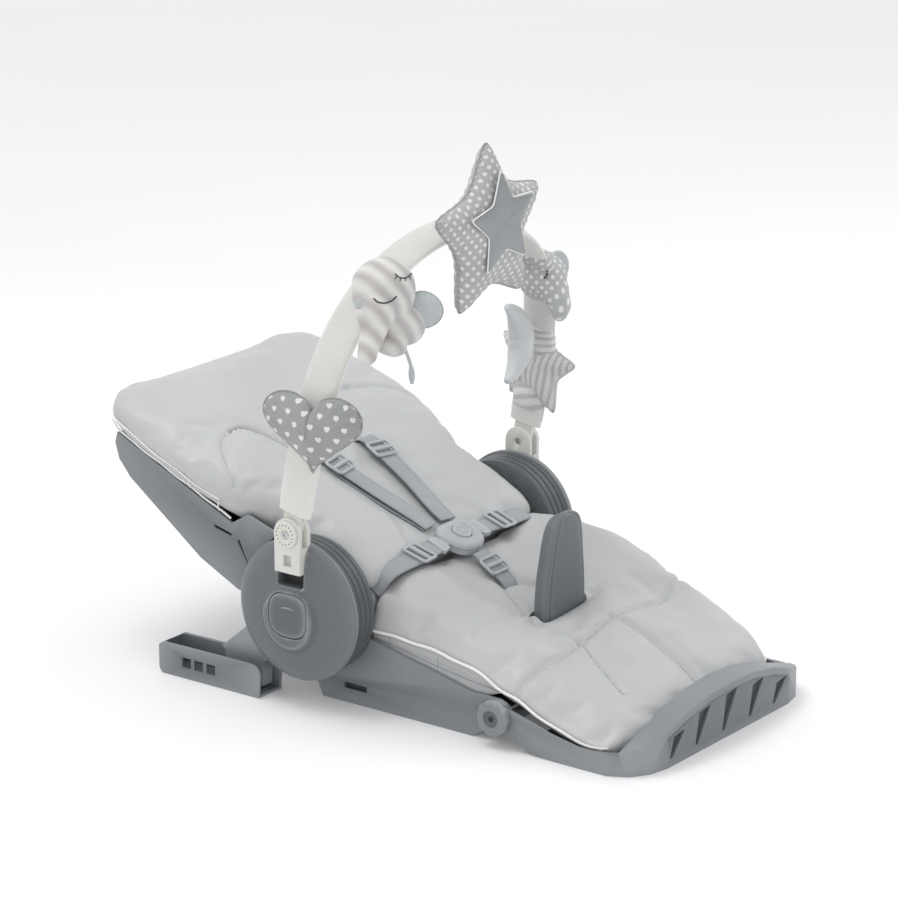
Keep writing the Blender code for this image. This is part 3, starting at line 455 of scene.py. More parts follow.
def finish_mesh(name, mesh, material, sharp=35):
    bm = bmesh.new()
    bm.from_mesh(mesh)
    bmesh.ops.recalc_face_normals(bm, faces=bm.faces)
    bm.to_mesh(mesh)
    bm.free()
    mesh.materials.clear()
    mesh.materials.append(MATERIALS[material])
    mesh.shade_smooth()
    mesh.set_sharp_from_angle(angle=math.radians(sharp))
    piece = bpy.data.objects.new(name, mesh)
    bpy.context.collection.objects.link(piece)
    piece["look"] = material
    return piece


def place(piece, body, *replaced, slot=None):
    """Hide the CAD parts that a finished piece replaces and attach the piece to its body."""
    if replaced:
        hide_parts(*replaced)
    if body:
        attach(piece, body)
    return piece


def bent(piece, first, second, start, end, *replaced, slot=None):
    """Hide the CAD parts that a piece of fabric across a joint replaces and bake its placement into its mesh; it
    is not attached or bent.
    """
    place(piece, None, *replaced, slot=slot)
    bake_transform(piece)
    return piece


def loft_data(rings, closed=False, capped=True):
    """Vertices and faces of a skin over rings."""
    count = len(rings[0])
    verts = [p for ring in rings for p in ring]
    faces = []
    spans = len(rings) if closed else len(rings) - 1
    for r in range(spans):
        a, b = r * count, ((r + 1) % len(rings)) * count
        for i in range(count):
            j = (i + 1) % count
            faces.append((a + i, a + j, b + j, b + i))
    if capped and not closed:
        faces.append(tuple(range(count)))
        faces.append(tuple(range((len(rings) - 1) * count, len(rings) * count)))
    return verts, faces


def loft(name, rings, material, closed=False, sharp=35, uvs=None):
    verts, faces = loft_data(rings, closed)
    return new_piece(name, verts, faces, material, uvs, sharp)


def tube_data(path, radius, sides=8, closed=False):
    """Rings of a round tube along a path, turned as little as possible from one to the next."""
    rings = []
    total = len(path)
    normal = None
    for i, point in enumerate(path):
        before = path[i - 1] if i or closed else point
        after = path[(i + 1) % total] if i + 1 < total or closed else point
        direction = (after - before).normalized()
        if normal is None:
            normal = direction.orthogonal().normalized()
        normal = (normal - direction * normal.dot(direction)).normalized()
        other = direction.cross(normal)
        size = radius(i / max(total - 1, 1)) if callable(radius) else radius
        rings.append([point + (normal * math.cos(a) + other * math.sin(a)) * size for a in turns(sides)])
    return loft_data(rings, closed)


def tube(name, path, radius, material, sides=8, closed=False):
    verts, faces = tube_data(path, radius, sides, closed)
    return new_piece(name, verts, faces, material)


def turned_x(name, side, profile, material, count=96, sharp=32):
    """A closed profile of (distance from the middle, radius) in millimetres, turned about the hub axis."""
    rings = [[about_x(side, x, r, a) for a in turns(count)] for x, r in profile]
    return loft(name, rings, material, closed=True, sharp=sharp)


def boolean(piece, tool, operation="DIFFERENCE"):
    change = piece.modifiers.new("shape", "BOOLEAN")
    change.operation = operation
    change.solver = "EXACT"
    change.object = tool
    apply_modifiers(piece)
    bpy.data.objects.remove(tool)
    return piece


def apply_modifiers(piece):
    bpy.context.view_layer.update()
    graph = bpy.context.evaluated_depsgraph_get()
    result = bpy.data.meshes.new_from_object(piece.evaluated_get(graph))
    piece.modifiers.clear()
    piece.data = result
    return piece


def polished(node, width, material=None, segments=2, angle=30, suffix="moulding"):
    """A copy of a CAD part with its flat faces made whole and its edges rounded."""
    mesh = frame["nodes"][node].data.copy()
    bm = bmesh.new()
    bm.from_mesh(mesh)
    bmesh.ops.remove_doubles(bm, verts=bm.verts, dist=0.00002)
    bmesh.ops.dissolve_limit(bm, angle_limit=math.radians(0.7), verts=bm.verts, edges=bm.edges)
    limit = math.radians(angle)
    edges = [e for e in bm.edges if len(e.link_faces) == 2 and e.calc_face_angle() > limit]
    if width:
        bmesh.ops.bevel(bm, geom=edges, offset=width, offset_type="OFFSET", segments=segments, profile=0.5,
                        affect="EDGES", clamp_overlap=True, loop_slide=True)
    clean = bpy.data.meshes.new(node + "_" + suffix)
    bm.to_mesh(clean)
    bm.free()
    piece = finish_mesh(node + "_" + suffix, clean, material or SUBPARTS[node], 38)
    return place(piece, BODY_OF[node], node, slot=SUBPARTS[node])


def joined(name, parts, material, sharp=35):
    """One mesh from several (verts, faces) pairs."""
    verts, faces = [], []
    for more_verts, more_faces in parts:
        base = len(verts)
        verts += list(more_verts)
        faces += [tuple(base + i for i in face) for face in more_faces]
    return new_piece(name, verts, faces, material, sharp=sharp)


# ---------------------------------------------------------------- stage

CAMERA_AZIMUTH, CAMERA_ELEVATION, CAMERA_DISTANCE, CAMERA_LENS = -53.3, 17.1, 4.4, 154.5
TARGET = Vector((0.0, HUB_Y - 0.0538, 0.2603))
FLOOR_REACH = 9.0


def set_camera():
    azimuth, elevation = math.radians(CAMERA_AZIMUTH), math.radians(CAMERA_ELEVATION)
    forward = Vector((-math.sin(azimuth) * math.cos(elevation), math.cos(azimuth) * math.cos(elevation),
                      -math.sin(elevation)))
    data = bpy.data.cameras.new("camera")
    data.sensor_width = 36.0
    data.lens = CAMERA_LENS
    camera = bpy.data.objects.new("camera", data)
    camera.location = TARGET - forward * CAMERA_DISTANCE
    camera.rotation_euler = forward.to_track_quat("-Z", "Y").to_euler()
    bpy.context.collection.objects.link(camera)
    bpy.context.scene.camera = camera


def add_lamp(name, location, power, size):
    light = bpy.data.lights.new(name, "AREA")
    light.energy = power
    light.size = size
    lamp = bpy.data.objects.new(name, light)
    lamp.location = location
    lamp.rotation_euler = (TARGET - Vector(location)).to_track_quat("-Z", "Y").to_euler()
    bpy.context.collection.objects.link(lamp)


def set_world():
    world = bpy.data.worlds.new("studio")
    world.use_nodes = True
    sky = world.node_tree.nodes["Background"].inputs
    sky["Color"].default_value = (0.99, 0.99, 1.0, 1.0)
    sky["Strength"].default_value = 0.86
    bpy.context.scene.world = world
    bpy.context.scene.view_settings.view_transform = "Standard"


def set_floor():
    surface = Surface("studio_floor", (0.90, 0.90, 0.905), 0.75)
    surface.vary(2.0, 0.01).grain(30.0, 0.0005, 0.1)
    surface.shader.inputs["Emission Color"].default_value = (1.0, 1.0, 1.0, 1.0)
    surface.shader.inputs["Emission Strength"].default_value = 0.07
    corners = [(x * FLOOR_REACH, y * FLOOR_REACH, 0) for x, y in ((-1, -1), (1, -1), (1, 1), (-1, 1))]
    mesh = bpy.data.meshes.new("studio_floor")
    mesh.from_pydata(corners, [], [(0, 1, 2, 3)])
    mesh.materials.append(surface.done())
    floor = bpy.data.objects.new("studio_floor", mesh)
    bpy.context.collection.objects.link(floor)


def set_stage():
    set_camera()
    add_lamp("key_light", (-0.4, 0.6, 2.6), 19.0, 1.1)
    add_lamp("fill_light", (-2.6, -2.0, 1.2), 3.0, 2.0)
    add_lamp("rim_light", (2.2, -0.6, 1.5), 8.0, 1.6)
    set_world()
    set_floor()


# ---------------------------------------------------------------- soft padding

CLOTH = {"quality": 5, "mass": 0.3, "tension_stiffness": 12.0, "compression_stiffness": 4.0,
         "shear_stiffness": 5.0, "bending_stiffness": 0.3, "use_pressure": True, "shrink_min": -0.025,
         "vertex_group_mass": "held"}
CLOTH_FRAMES = 20


def remeshed(piece, voxel):
    remesh = piece.modifiers.new("remesh", "REMESH")
    remesh.mode = "VOXEL"
    remesh.voxel_size = voxel
    return apply_modifiers(piece)


def puff(piece, voxel, pressure, cap, held):
    """Remesh a pad and let air pressure fill it; points where held(co) is 1 stay where they are."""
    remeshed(piece, voxel)
    rest = np.array([v.co for v in piece.data.vertices])
    group = piece.vertex_groups.new(name="held")
    for i, co in enumerate(rest):
        weight = held(co)
        if weight > 0.01:
            group.add([i], weight, "REPLACE")
    cloth = piece.modifiers.new("cloth", "CLOTH")
    for key, value in CLOTH.items():
        setattr(cloth.settings, key, value)
    cloth.settings.uniform_pressure_force = pressure
    cloth.settings.effector_weights.gravity = 0.0
    cloth.collision_settings.use_collision = False
    scene = bpy.context.scene
    for number in range(1, CLOTH_FRAMES + 1):
        scene.frame_set(number)
    graph = bpy.context.evaluated_depsgraph_get()
    moved = np.array([v.co for v in piece.evaluated_get(graph).data.vertices])
    piece.modifiers.clear()
    shift = moved - rest
    length = np.maximum(np.linalg.norm(shift, axis=1), 1e-9)
    kept = np.minimum(length, cap) / length
    for vertex, co in zip(piece.data.vertices, rest + shift * kept[:, None]):
        vertex.co = co
    piece.vertex_groups.clear()
    scene.frame_set(1)


def soften(piece, rounds, factor=0.5):
    smooth = piece.modifiers.new("soften", "SMOOTH")
    smooth.iterations = rounds
    smooth.factor = factor
    return apply_modifiers(piece)


def subdivide(piece, levels=1):
    finer = piece.modifiers.new("finer", "SUBSURF")
    finer.levels = levels
    finer.render_levels = levels
    return apply_modifiers(piece)


def reshade(piece, angle):
    piece.data.shade_smooth()
    piece.data.set_sharp_from_angle(angle=math.radians(angle))


def grown_seams(seams):
    """Seams of (path, strength) with their paths made smooth."""
    return [([tuple(p)[:2] for p in spline([(x, y, 0) for x, y in path], 6)], k) for path, k in seams]


def distance_to(path, points):
    """How far each flat point is from a path, in the path's own units."""
    best = np.full(len(points), 1e9)
    path = np.asarray(path, float)
    for a, b in zip(path, path[1:]):
        run = b - a
        t = np.clip(((points - a) @ run) / max(run @ run, 1e-12), 0, 1)
        best = np.minimum(best, np.linalg.norm(points - (a + t[:, None] * run), axis=1))
    return best


def sew(piece, flat, seams, facing):
    """Press seams into a pad. flat gives a vertex's two coordinates in the pad's plane, in millimetres."""
    mesh = piece.data
    co = np.array([v.co for v in mesh.vertices])
    normals = np.array([v.normal for v in mesh.vertices])
    plane = flat(co)
    upper = normals @ np.array(facing) > 0.2
    for path, depth, width in seams:
        away = distance_to(path, plane)
        press = depth * MM * np.exp(-(away / width) ** 2) * upper
        puff_out = 0.22 * depth * MM * np.exp(-((away - 2.6 * width) / (1.3 * width)) ** 2) * upper
        co = co - normals * (press - puff_out)[:, None]
    for vertex, pressed in zip(mesh.vertices, co):
        vertex.co = pressed
    mesh.update()


def stitches(name, paths, pitch=4.2, length=2.9, radius=0.42):
    """Short threads laid along paths of (point, normal)."""
    parts = []
    for path in paths:
        travelled = due = 0.0
        for (a, normal_a), (b, _) in zip(path, path[1:]):
            run = (b - a).length
            direction = (b - a).normalized()
            while due <= travelled + run:
                middle = a + direction * (due - travelled) + normal_a * (radius * 0.35 * MM)
                ends = [middle - direction * length / 2 * MM, middle + direction * length / 2 * MM]
                lift = normal_a * (radius * 0.5 * MM)
                line = [ends[0] - lift, ends[0] * 0.7 + ends[1] * 0.3, ends[0] * 0.3 + ends[1] * 0.7,
                        ends[1] - lift]
                parts.append(tube_data(line, radius * MM, 5))
                due += pitch * MM
            travelled += run
    return joined(name, parts, "thread", sharp=60)


def seam_creases(name, paths, radius=0.55):
    """The dark line where two panels of a cover meet."""
    parts = [tube_data([p - n * radius * 0.45 * MM for p, n in path], radius * MM, 6) for path in paths]
    return joined(name, parts, "seam_shadow", sharp=60)


def drape_path(tree, start_points, direction):
    """Drop points onto a surface along a direction; gives (point, normal) pairs."""
    made = []
    for point in start_points:
        hit, normal, _, _ = tree.ray_cast(point - direction * 0.3, direction)
        if hit is not None:
            if normal.dot(direction) > 0:
                normal = -normal
            made.append((hit, normal))
    return made


def surface_tree(piece):
    mesh = piece.data
    return BVHTree.FromPolygons([v.co for v in mesh.vertices], [p.vertices for p in mesh.polygons])


# Height of the seat cover over the floor. Columns run from the right edge to the left one, and rows from
# the crease to the tray.
SEAT_COLUMNS = (-167, -150, -105, -44, 32, 105, 150, 168)
SEAT_ROWS = [
    (-62, (93, 128, 146, 141, 139, 144, 150, 106)), (-90, (92, 124, 142, 130, 128, 138, 152, 106)),
    (-135, (90, 114, 130, 116, 114, 131, 152, 106)), (-180, (84, 104, 117, 106, 108, 124, 147, 102)),
    (-221, (75, 92, 105, 100, 105, 115, 134, 96)), (-250, (62, 80, 94, 94, 102, 104, 121, 84)),
    (-275, (55, 69, 83, 86, 97, 95, 109, 72)), (-300, (44, 59, 73, 77, 86, 88, 98, 60)),
    (-330, (33, 48, 61, 66, 70, 76, 84, 48)), (-360, (26, 39, 50, 55, 56, 62, 67, 38)),
    (-385, (22, 32, 40, 44, 43, 47, 46, 28)), (-402, (17, 25, 30, 33, 34, 33, 31, 20))]
SEAT_WIDTH = [(-62, 163.5), (-150, 164.5), (-231, 166), (-291, 168), (-365, 168), (-384, 163), (-396, 146),
              (-402, 126)]
SEAT_UNDER = [(-62, 71), (-135, 58), (-231, 40), (-262, 38), (-290, 14), (-402, 11)]
TRANSVERSE_SEAM = [(-166, -268), (-120, -274), (-47, -272), (20, -268), (70, -272), (100, -278), (135, -274),
                   (168, -270)]
NEAR_SEAM = [(-58, -219), (-50, -245), (-47, -270), (-58, -300), (-70, -328), (-80, -352)]
FAR_SEAM = [(20, -268), (27, -303), (28, -338), (26, -363), (16, -400)]
SLOT_TO_STRAP = [(-58, -219), (-40, -190), (-16, -150), (-8, -132)]
POST_SLOT = ((-46, 46), (-221.5, -193.5))


def column_height(column, y):
    return curve([(row, heights[column]) for row, heights in SEAT_ROWS], y)


def edge_height(side, y):
    return column_height(0 if side < 0 else -1, y)


def seat_section(y):
    return [(x, column_height(column, y)) for column, x in enumerate(SEAT_COLUMNS)]


def seat_ring(y):
    """One cross-section of the seat cover: its top from right to left, then its underside back."""
    section = seat_section(y)
    width, under = curve(SEAT_WIDTH, y), curve(SEAT_UNDER, y)
    ring = []
    top_count, under_count = 56, 12
    for i in range(top_count + 1):
        x = -blunt(math.cos(math.pi * i / top_count), 0.9)
        slump = 1.8 * noise(Vector((x * 3.1, y * 0.021, 4.0))) * (1 - abs(x) ** 6)
        ring.append(hub(y, curve(section, x * 167.5) + slump, x * width))
    right, left = section[0][1], section[-1][1]
    low_left, low_right = max(left - 9, under), max(right - 9, under)
    ring += [hub(y, (left + low_left) / 2, width - 0.5), hub(y, low_left, width - 5),
             hub(y, max(low_left - 8, under), width - 16)]
    ring += [hub(y, under, (width - 18) * (1 - 2 * i / under_count)) for i in range(1, under_count)]
    ring += [hub(y, max(low_right - 8, under), -(width - 16)), hub(y, low_right, -(width - 5)),
             hub(y, (right + low_right) / 2, -(width - 0.5))]
    return ring


def flat_seat(co):
    return np.stack([co[:, 0] / MM, (co[:, 1] - HUB_Y) / MM], axis=1)


def seat_hold(seams):
    """Where the air pressure doesn't lift the seat: its sides, its seams and round the post's slot."""
    def held(co):
        x, y = co[0] / MM, (co[1] - HUB_Y) / MM
        if co[2] / MM < curve(seat_section(y), x) - 9:
            return 1.0
        flat = np.array([[x, y]])
        from_slot = max(abs(x) - 60, 0) ** 2 + max(abs(y + 207) - 16, 0) ** 2
        best = math.exp(-(from_slot / 60.0))
        for path, k in seams:
            best = max(best, k * math.exp(-(distance_to(path, flat)[0] / 6.0) ** 2))
        return min(best, 1.0)
    return held


def cut_post_slot(pad):
    (x0, x1), (y0, y1) = POST_SLOT
    outline = [((x1 - x0) / 2 * blunt(math.cos(a), 0.4) + (x0 + x1) / 2,
                (y1 - y0) / 2 * blunt(math.sin(a), 0.6) + (y0 + y1) / 2) for a in turns(32)]
    cutter = loft("slot_cutter", [[hub(y, z, x) for x, y in outline] for z in (0, 200)], "gusset")
    boolean(pad, cutter)
    reshade(pad, 65)


def seat_piping(side):
    """The pale edge of the seat cover, from the hub round the tray's corner."""
    path = []
    for i in range(54):
        y = -64 - 6 * i
        path.append(hub(y, edge_height(side, y) - 1.0 + 0.8 * math.sin(y * 0.11),
                        side * (curve(SEAT_WIDTH, y) + 1.0)))
    return path + [hub(y - 15, 20 if side > 0 else 17, side * 128), hub(y - 18, 23, side * 90)]


def seat_cover():
    """The padding and cover from the crease over the knee to the end of the leg rest."""
    rows = [-62 - 5 * i for i in range(68)] + [-400, -402]
    pad = loft("seat_cover", [seat_ring(y) for y in rows], "leatherette", sharp=180)
    seams = grown_seams([(TRANSVERSE_SEAM, 1.0), (NEAR_SEAM, 0.9), (FAR_SEAM, 0.9), (SLOT_TO_STRAP, 0.7),
                         (mirrored(SLOT_TO_STRAP), 0.7)])
    puff(pad, 0.0056, 3.4, 0.007, seat_hold(seams))
    soften(pad, 3)
    subdivide(pad)
    slot_dips = [([(-62, -219), (62, -219)], 5.0, 6.0), ([(-56, -196), (56, -196)], 3.5, 6.0)]
    sew(pad, flat_seat, [(path, 3.2 if k > 0.8 else 2.0, 3.4) for path, k in seams] + slot_dips, (0, 0, 1))
    cut_post_slot(pad)
    tree = surface_tree(pad)
    lines = [drape_path(tree, [hub(y, 200, x) for x, y in path], Vector((0, 0, -1)))
             for path, k in seams if k > 0.8]
    thread = stitches("seat_stitching", lines)
    crease = seam_creases("seat_seam_creases", lines)
    knee = ("base", "leg_rest", hub(-232, 60), hub(-266, 60))
    bent(crease, *knee)
    bent(pad, *knee, "seat_pad", "knee_pad", "leg_rest_pad")
    bent(thread, *knee)
    for side_name, side in SIDES.items():
        bent(tube("seat_piping_" + side_name, seat_piping(side), 1.7 * MM, "piping"), *knee)


def gusset_ring(side, share, y):
    top = edge_height(side, y) - 3
    panel = curve([(-60, 80), (-112, 70), (-168, 58), (-209, 48), (-258, 48)], y)
    low = min(panel - 6 + 16 * step(-215, -258, y), top - 2)
    bulge = 3.5 * math.sin(math.pi * share) ** 0.5
    seam = 0.62 * top + 0.38 * low - 3
    dip = 1.2 * (math.exp(-((y + 90) / 3.0) ** 2) + math.exp(-((y + 160) / 3.0) ** 2))
    outer = 161.5
    profile = [(outer - 8, low), (outer - 1, low + 1.5), (outer + bulge - 1.0, low * 0.72 + seam * 0.28),
               (outer + bulge - 0.6, low * 0.3 + seam * 0.7), (outer + bulge * 0.4 - 1.5, seam),
               (outer + bulge - 0.4 - dip, seam * 0.6 + top * 0.4),
               (outer + bulge - 0.6 - dip, seam * 0.25 + top * 0.75), (outer - 1, top), (outer - 14, top),
               (outer - 16, (top + low) / 2)]
    return [hub(y, z, side * x) for x, z in profile]


def gusset_seams(side):
    """Lines beside the gusset: its lower seam and two short upright ones."""
    far = side * 200
    low_seam = []
    for i in range(30):
        y = -72 - 176 * i / 29
        floor = curve([(-60, 76), (-209, 46), (-258, 52)], y)
        low_seam.append(hub(y, edge_height(side, y) * 0.45 + 0.55 * floor, far))
    upright = [[hub(y, low + (high - low) * i / 8, far) for i in range(9)]
               for y, low, high in ((-92, 72, 88), (-160, 60, 84))]
    return [low_seam] + upright


def side_padding(side_name, side):
    """The padded gusset between the side panel and the piped edge of the seat cover."""
    count = 44
    rings = [gusset_ring(side, (i + 1) / (count + 2), -66 - 192 * i / count) for i in range(count + 1)]
    pad = loft("side_padding_" + side_name, rings, "gusset", sharp=60)
    subdivide(pad)
    tree = surface_tree(pad)
    lines = [drape_path(tree, path, Vector((-side, 0, 0))) for path in gusset_seams(side)]
    lines = [line for line in lines if len(line) > 3]
    place(seam_creases("side_padding_seams_" + side_name, lines), "base")
    place(pad, "base")


# Places along the back, each with the back cover's half width and the heights of its underside, edge,
# side and middle.
BACK_STATIONS = [
    (-44, 150, 40, 44, 50, 46), (-38, 156, 35, 42, 61, 55), (-24, 160, 31, 42, 67, 60),
    (0, 162, 29, 42, 70, 61), (26, 163, 27, 42, 71.5, 61), (44, 163, 21, 40, 72, 61.5),
    (84, 164, 19.5, 38, 73, 62), (98, 168, 19.5, 38, 74, 62), (120, 174, 19.5, 38, 74, 62),
    (150, 184, 19.5, 34, 73, 61), (197, 191, 19.5, 34, 71, 59), (250, 193, 19.5, 34, 66, 56),
    (291, 192, 19.5, 34, 60, 54), (325, 188, 19.5, 33, 57, 53), (346, 176, 21, 34, 54, 51),
    (360, 154, 25, 35, 49, 48), (368, 124, 31, 37, 43, 43)]
PILLOW_SEAM = [(-184, 150), (-172, 178), (-152, 204), (-130, 220), (-108, 227)]
FLAP_SLIT = [(-108, 227), (-92, 229), (-80, 220), (-70, 198), (-62, 172), (-56, 157)]
STRAP_LINE = [(43, 146), (40, 120), (31, 60), (20, 8), (18, -20)]
STRAP_SEAM = [(-56, 157), (-40, 148), (-20, 152), (20, 152), (40, 148), (56, 157)]
BACK_OUT = Vector((0, -math.sin(BACK_ANGLE), math.cos(BACK_ANGLE)))


def back_ring(s):
    width, bottom, edge, side, centre = (curve([(st[0], st[k]) for st in BACK_STATIONS], s)
                                         for k in range(1, 6))
    rise = side - edge
    half = [(0.0, bottom), (0.5, bottom), (0.88, bottom), (0.955, bottom + 1.5), (1.0, edge),
            (1.02, edge + 0.5 * rise), (0.965, edge + 0.88 * rise), (0.85, side),
            (0.62, 0.72 * side + 0.28 * centre), (0.36, 0.36 * side + 0.64 * centre), (0.0, centre)]
    ring = half + mirrored(reversed(half[1:-1]))
    smooth = spline([(x * width, n, 0) for x, n in ring], 4, closed=True)
    made = []
    for p in smooth:
        slump = 1.6 * noise(Vector((p.x * 0.019, s * 0.019, 9.0))) * step(edge, side, p.y)
        made.append(back(s, p.y + slump, p.x))
    return made


def flat_back(co):
    y, z = co[:, 1] - HUB_Y, co[:, 2] - HUB_Z
    along = y * math.cos(BACK_ANGLE) + z * math.sin(BACK_ANGLE)
    return np.stack([co[:, 0] / MM, along / MM], axis=1)


def back_hold(seams):
    """Where the air pressure doesn't lift the back: its edges, its seams and under the straps."""
    def held(co):
        y, z = co[1] - HUB_Y, co[2] - HUB_Z
        if (-y * math.sin(BACK_ANGLE) + z * math.cos(BACK_ANGLE)) / MM < 34:
            return 1.0
        flat = flat_back(np.array([co]))
        best = 0.0
        for line in (STRAP_LINE, mirrored(STRAP_LINE)):
            best = max(best, math.exp(-(max(distance_to(line, flat)[0] - 12, 0) / 9.0) ** 2))
        for path, k in seams:
            best = max(best, k * math.exp(-(distance_to(path, flat)[0] / 6.0) ** 2))
        return min(best, 1.0)
    return held


def pillow_slit(path):
    """The open edge of the pillow's flap and the bartack at its upper end."""
    slit = tube("pillow_slit_shadow", [p + n * 1.6 * MM for p, n in path],
                lambda t: (0.5 + 0.9 * math.sin(math.pi * min(t * 1.05, 1.0))) * MM, "deep_plastic", 6)
    place(slit, "backrest")
    (first, out), (last, last_out) = path[0], path[3]
    tack = [first + out * 2.2 * MM, last + last_out * 2.6 * MM]
    place(tube("slit_bartack", tack, 1.2 * MM, "piping", 6), "backrest")


def back_cover():
    rows = [-44, -41, -38] + [-33 + 5 * i for i in range(78)] + [356, 360, 364, 368]
    pad = loft("back_cover", [back_ring(s) for s in rows], "leatherette", sharp=180)
    seams = grown_seams([(PILLOW_SEAM, 1.0), (FLAP_SLIT, 1.0), (mirrored(PILLOW_SEAM), 0.9),
                         (mirrored(FLAP_SLIT), 0.9), (STRAP_SEAM, 0.9)])
    puff(pad, 0.0058, 3.4, 0.006, back_hold(seams))
    soften(pad, 3)
    subdivide(pad)
    slit_path = seams[1][0]
    sew(pad, flat_back, [(path, 2.6, 3.2) for path, k in seams] + [(slit_path, 4.0, 1.4)], tuple(BACK_OUT))
    reshade(pad, 70)
    tree = surface_tree(pad)

    def draped(path):
        return drape_path(tree, [back(s, 100, x) for x, s in path], -BACK_OUT)
    lines = [draped(seams[k][0]) for k in (0, 2, 4)]
    thread = stitches("back_stitching", lines)
    place(seam_creases("back_seam_creases", lines), "backrest")
    bent(pad, "base", "backrest", back(-40, 40), back(20, 66), "backrest_pad", "crease_pad")
    place(thread, "backrest")
    pillow_slit(draped(slit_path))


def back_trim():
    """The pale hems along the gusset between the back cover and its shell."""
    for side_name, side in SIDES.items():
        path = []
        for i in range(40):
            s = 141 + 202 * i / 39
            width = curve([(141, 181.5), (300, 183.5), (325, 181), (343, 174)], s)
            path.append(back(s, 20.5 + 0.5 * math.sin(s * 0.13), side * width))
        trim = tube("back_hem_" + side_name, path, 1.3 * MM, "piping")
        place(trim, "backrest")
        upper = []
        for i in range(36):
            s = 160 + 178 * i / 35
            width = curve([(st[0], st[1]) for st in BACK_STATIONS], s)
            upper.append(back(s, 35.0 + 0.8 * math.sin(s * 0.09), side * (width + 1.6)))
        ties = [[back(s, 21 + 13 * k / 4, side * (184.5 + 2.0 * k)) for k in range(5)] for s in (205, 158)]
        hem = joined("back_upper_hem_" + side_name, [tube_data(upper, 0.9 * MM, 6)]
                     + [tube_data(tie, 0.9 * MM, 6) for tie in ties], "piping")
        place(hem, "backrest")


# ---------------------------------------------------------------- hubs

def boss_height(y, z):
    """How far the cover's raised boss stands out, in millimetres; y from the hub, z from the floor."""
    across = (y - 2) / 37.5
    up = (z - 109) / (42 if z > 109 else 41)
    r = math.sqrt(across * across + up * up)
    steep = 0.86 if z < 109 else 0.86 - 0.40 * step(109, 150, z)
    return 6.0 * (1 - step(steep, 1.03, r))


HUB_DOME = [(0, 224.4), (20, 224.4), (32, 224.2), (44, 223.2), (55, 221.9), (65, 220.2), (72, 218.3),
            (77, 216.0), (80.5, 213.4), (82.4, 210.6), (83.0, 208.6)]
BUTTON_CENTRE = (0.0, -2.0)


def hub_cover_rings(side):
    """Rings from the middle of the domed face over its rim and back behind it."""
    radii = [0.5] + [2.0 * i for i in range(1, 37)] + [74, 76, 77.5, 79, 80, 81, 82, 82.6, 83.0]
    rings = []
    for r in radii:
        x = curve(HUB_DOME, r) if r < 82.4 else 210.6 - (r - 82.4) * 3.3
        rings.append([about_x(side, x + boss_height(r * math.cos(a), 114 + r * math.sin(a)), r, a)
                      for a in turns(128)])
    for r, x in ((82.7, 206.6), (81.8, 205.8), (76, 205.8), (1.0, 205.8)):
        rings.append([about_x(side, x, r, a) for a in turns(128)])
    return rings


def hub_cover(side_name, side):
    """The domed disc with its boss, cut out for the recline button and for the toy bar's clip."""
    name = "hub_cover_shell_" + side_name
    cover = loft(name, hub_cover_rings(side), "dark_plastic", sharp=30)
    button = squircle(*BUTTON_CENTRE, 27.6, 26.4)
    boolean(cover, loft("button_cutter", [[hub(y, z, side * x) for y, z in button] for x in (200, 245)],
                        "deep_plastic"))
    socket = rounded_rectangle(18.7, 4.0, 145, 230)
    boolean(cover, loft("socket_cutter", [[hub(y, z, side * x) for y, z in socket] for x in (208.7, 250)],
                        "deep_plastic"))
    finished = finish_mesh(name + "_made", cover.data, "dark_plastic", 30)
    bpy.data.objects.remove(cover)
    finished.name = name
    place(finished, "base", "hub_cover_" + side_name)
    floor_plate = rounded_rectangle(18.3, 3.8, 145.4, 190)
    rings = [[hub(y, z, side * x) for y, z in floor_plate] for x in (208.4, 208.85)]
    place(loft("clip_socket_shadow_" + side_name, rings, "deep_plastic"), "base")
    # A black disc inside the cover: painted shade seen through the gap round the recline button.
    lining = [(206.2, 76), (206.2, 0.5), (206.9, 0.5), (206.9, 76)]
    place(turned_x("hub_cover_shade_disc_" + side_name, side, lining, "deep_plastic", count=48), "base")


def rounded_rectangle(half, corner, low, high):
    """An outline (y, z) with its two lower corners rounded."""
    points = [(half, high), (-half, high)]
    for centre_y, start in ((-half + corner, 180), (half - corner, 270)):
        for k in range(7):
            a = math.radians(start + 15 * k)
            points.append((centre_y + corner * math.cos(a), low + corner + corner * math.sin(a)))
    return points


def squircle(centre_y, centre_z, half_y, half_z, count=72, power=0.7):
    """An outline (y, z) between an ellipse and a rectangle, its centre given from the hub axis."""
    return [(centre_y + half_y * blunt(math.cos(a), power),
             HUB_Z / MM + centre_z + half_z * blunt(math.sin(a), power)) for a in turns(count)]


BUTTON_PROFILE = [(0.99, 216.6), (1.0, 228.6), (0.985, 229.8), (0.95, 230.7), (0.90, 231.0), (0.8, 230.9),
                  (0.65, 230.6), (0.5, 230.3), (0.35, 230.1), (0.2, 230.0), (0.08, 229.9)]


def recline_button(side_name, side):
    """A shallow dished cap with a raised finger ridge."""
    rings = [[hub(y, z, side * x) for y, z in squircle(*BUTTON_CENTRE, 26.6 * share, 25.4 * share)]
             for share, x in BUTTON_PROFILE]
    place(loft("recline_button_cap_" + side_name, rings, "button_plastic", sharp=50),
          "button_" + side_name, "recline_button_" + side_name)
    ridge = []
    for i in range(13):
        t = -1 + i / 6
        rise = 1 - t * t
        ridge.append(hub(9 * t, HUB_Z / MM + 6 + 1.6 * rise, side * (230.0 + 0.5 * rise)))
    place(tube("button_ridge_" + side_name, ridge, lambda t: (0.35 + 0.9 * math.sin(math.pi * t)) * MM,
               "button_plastic", 8), "button_" + side_name)


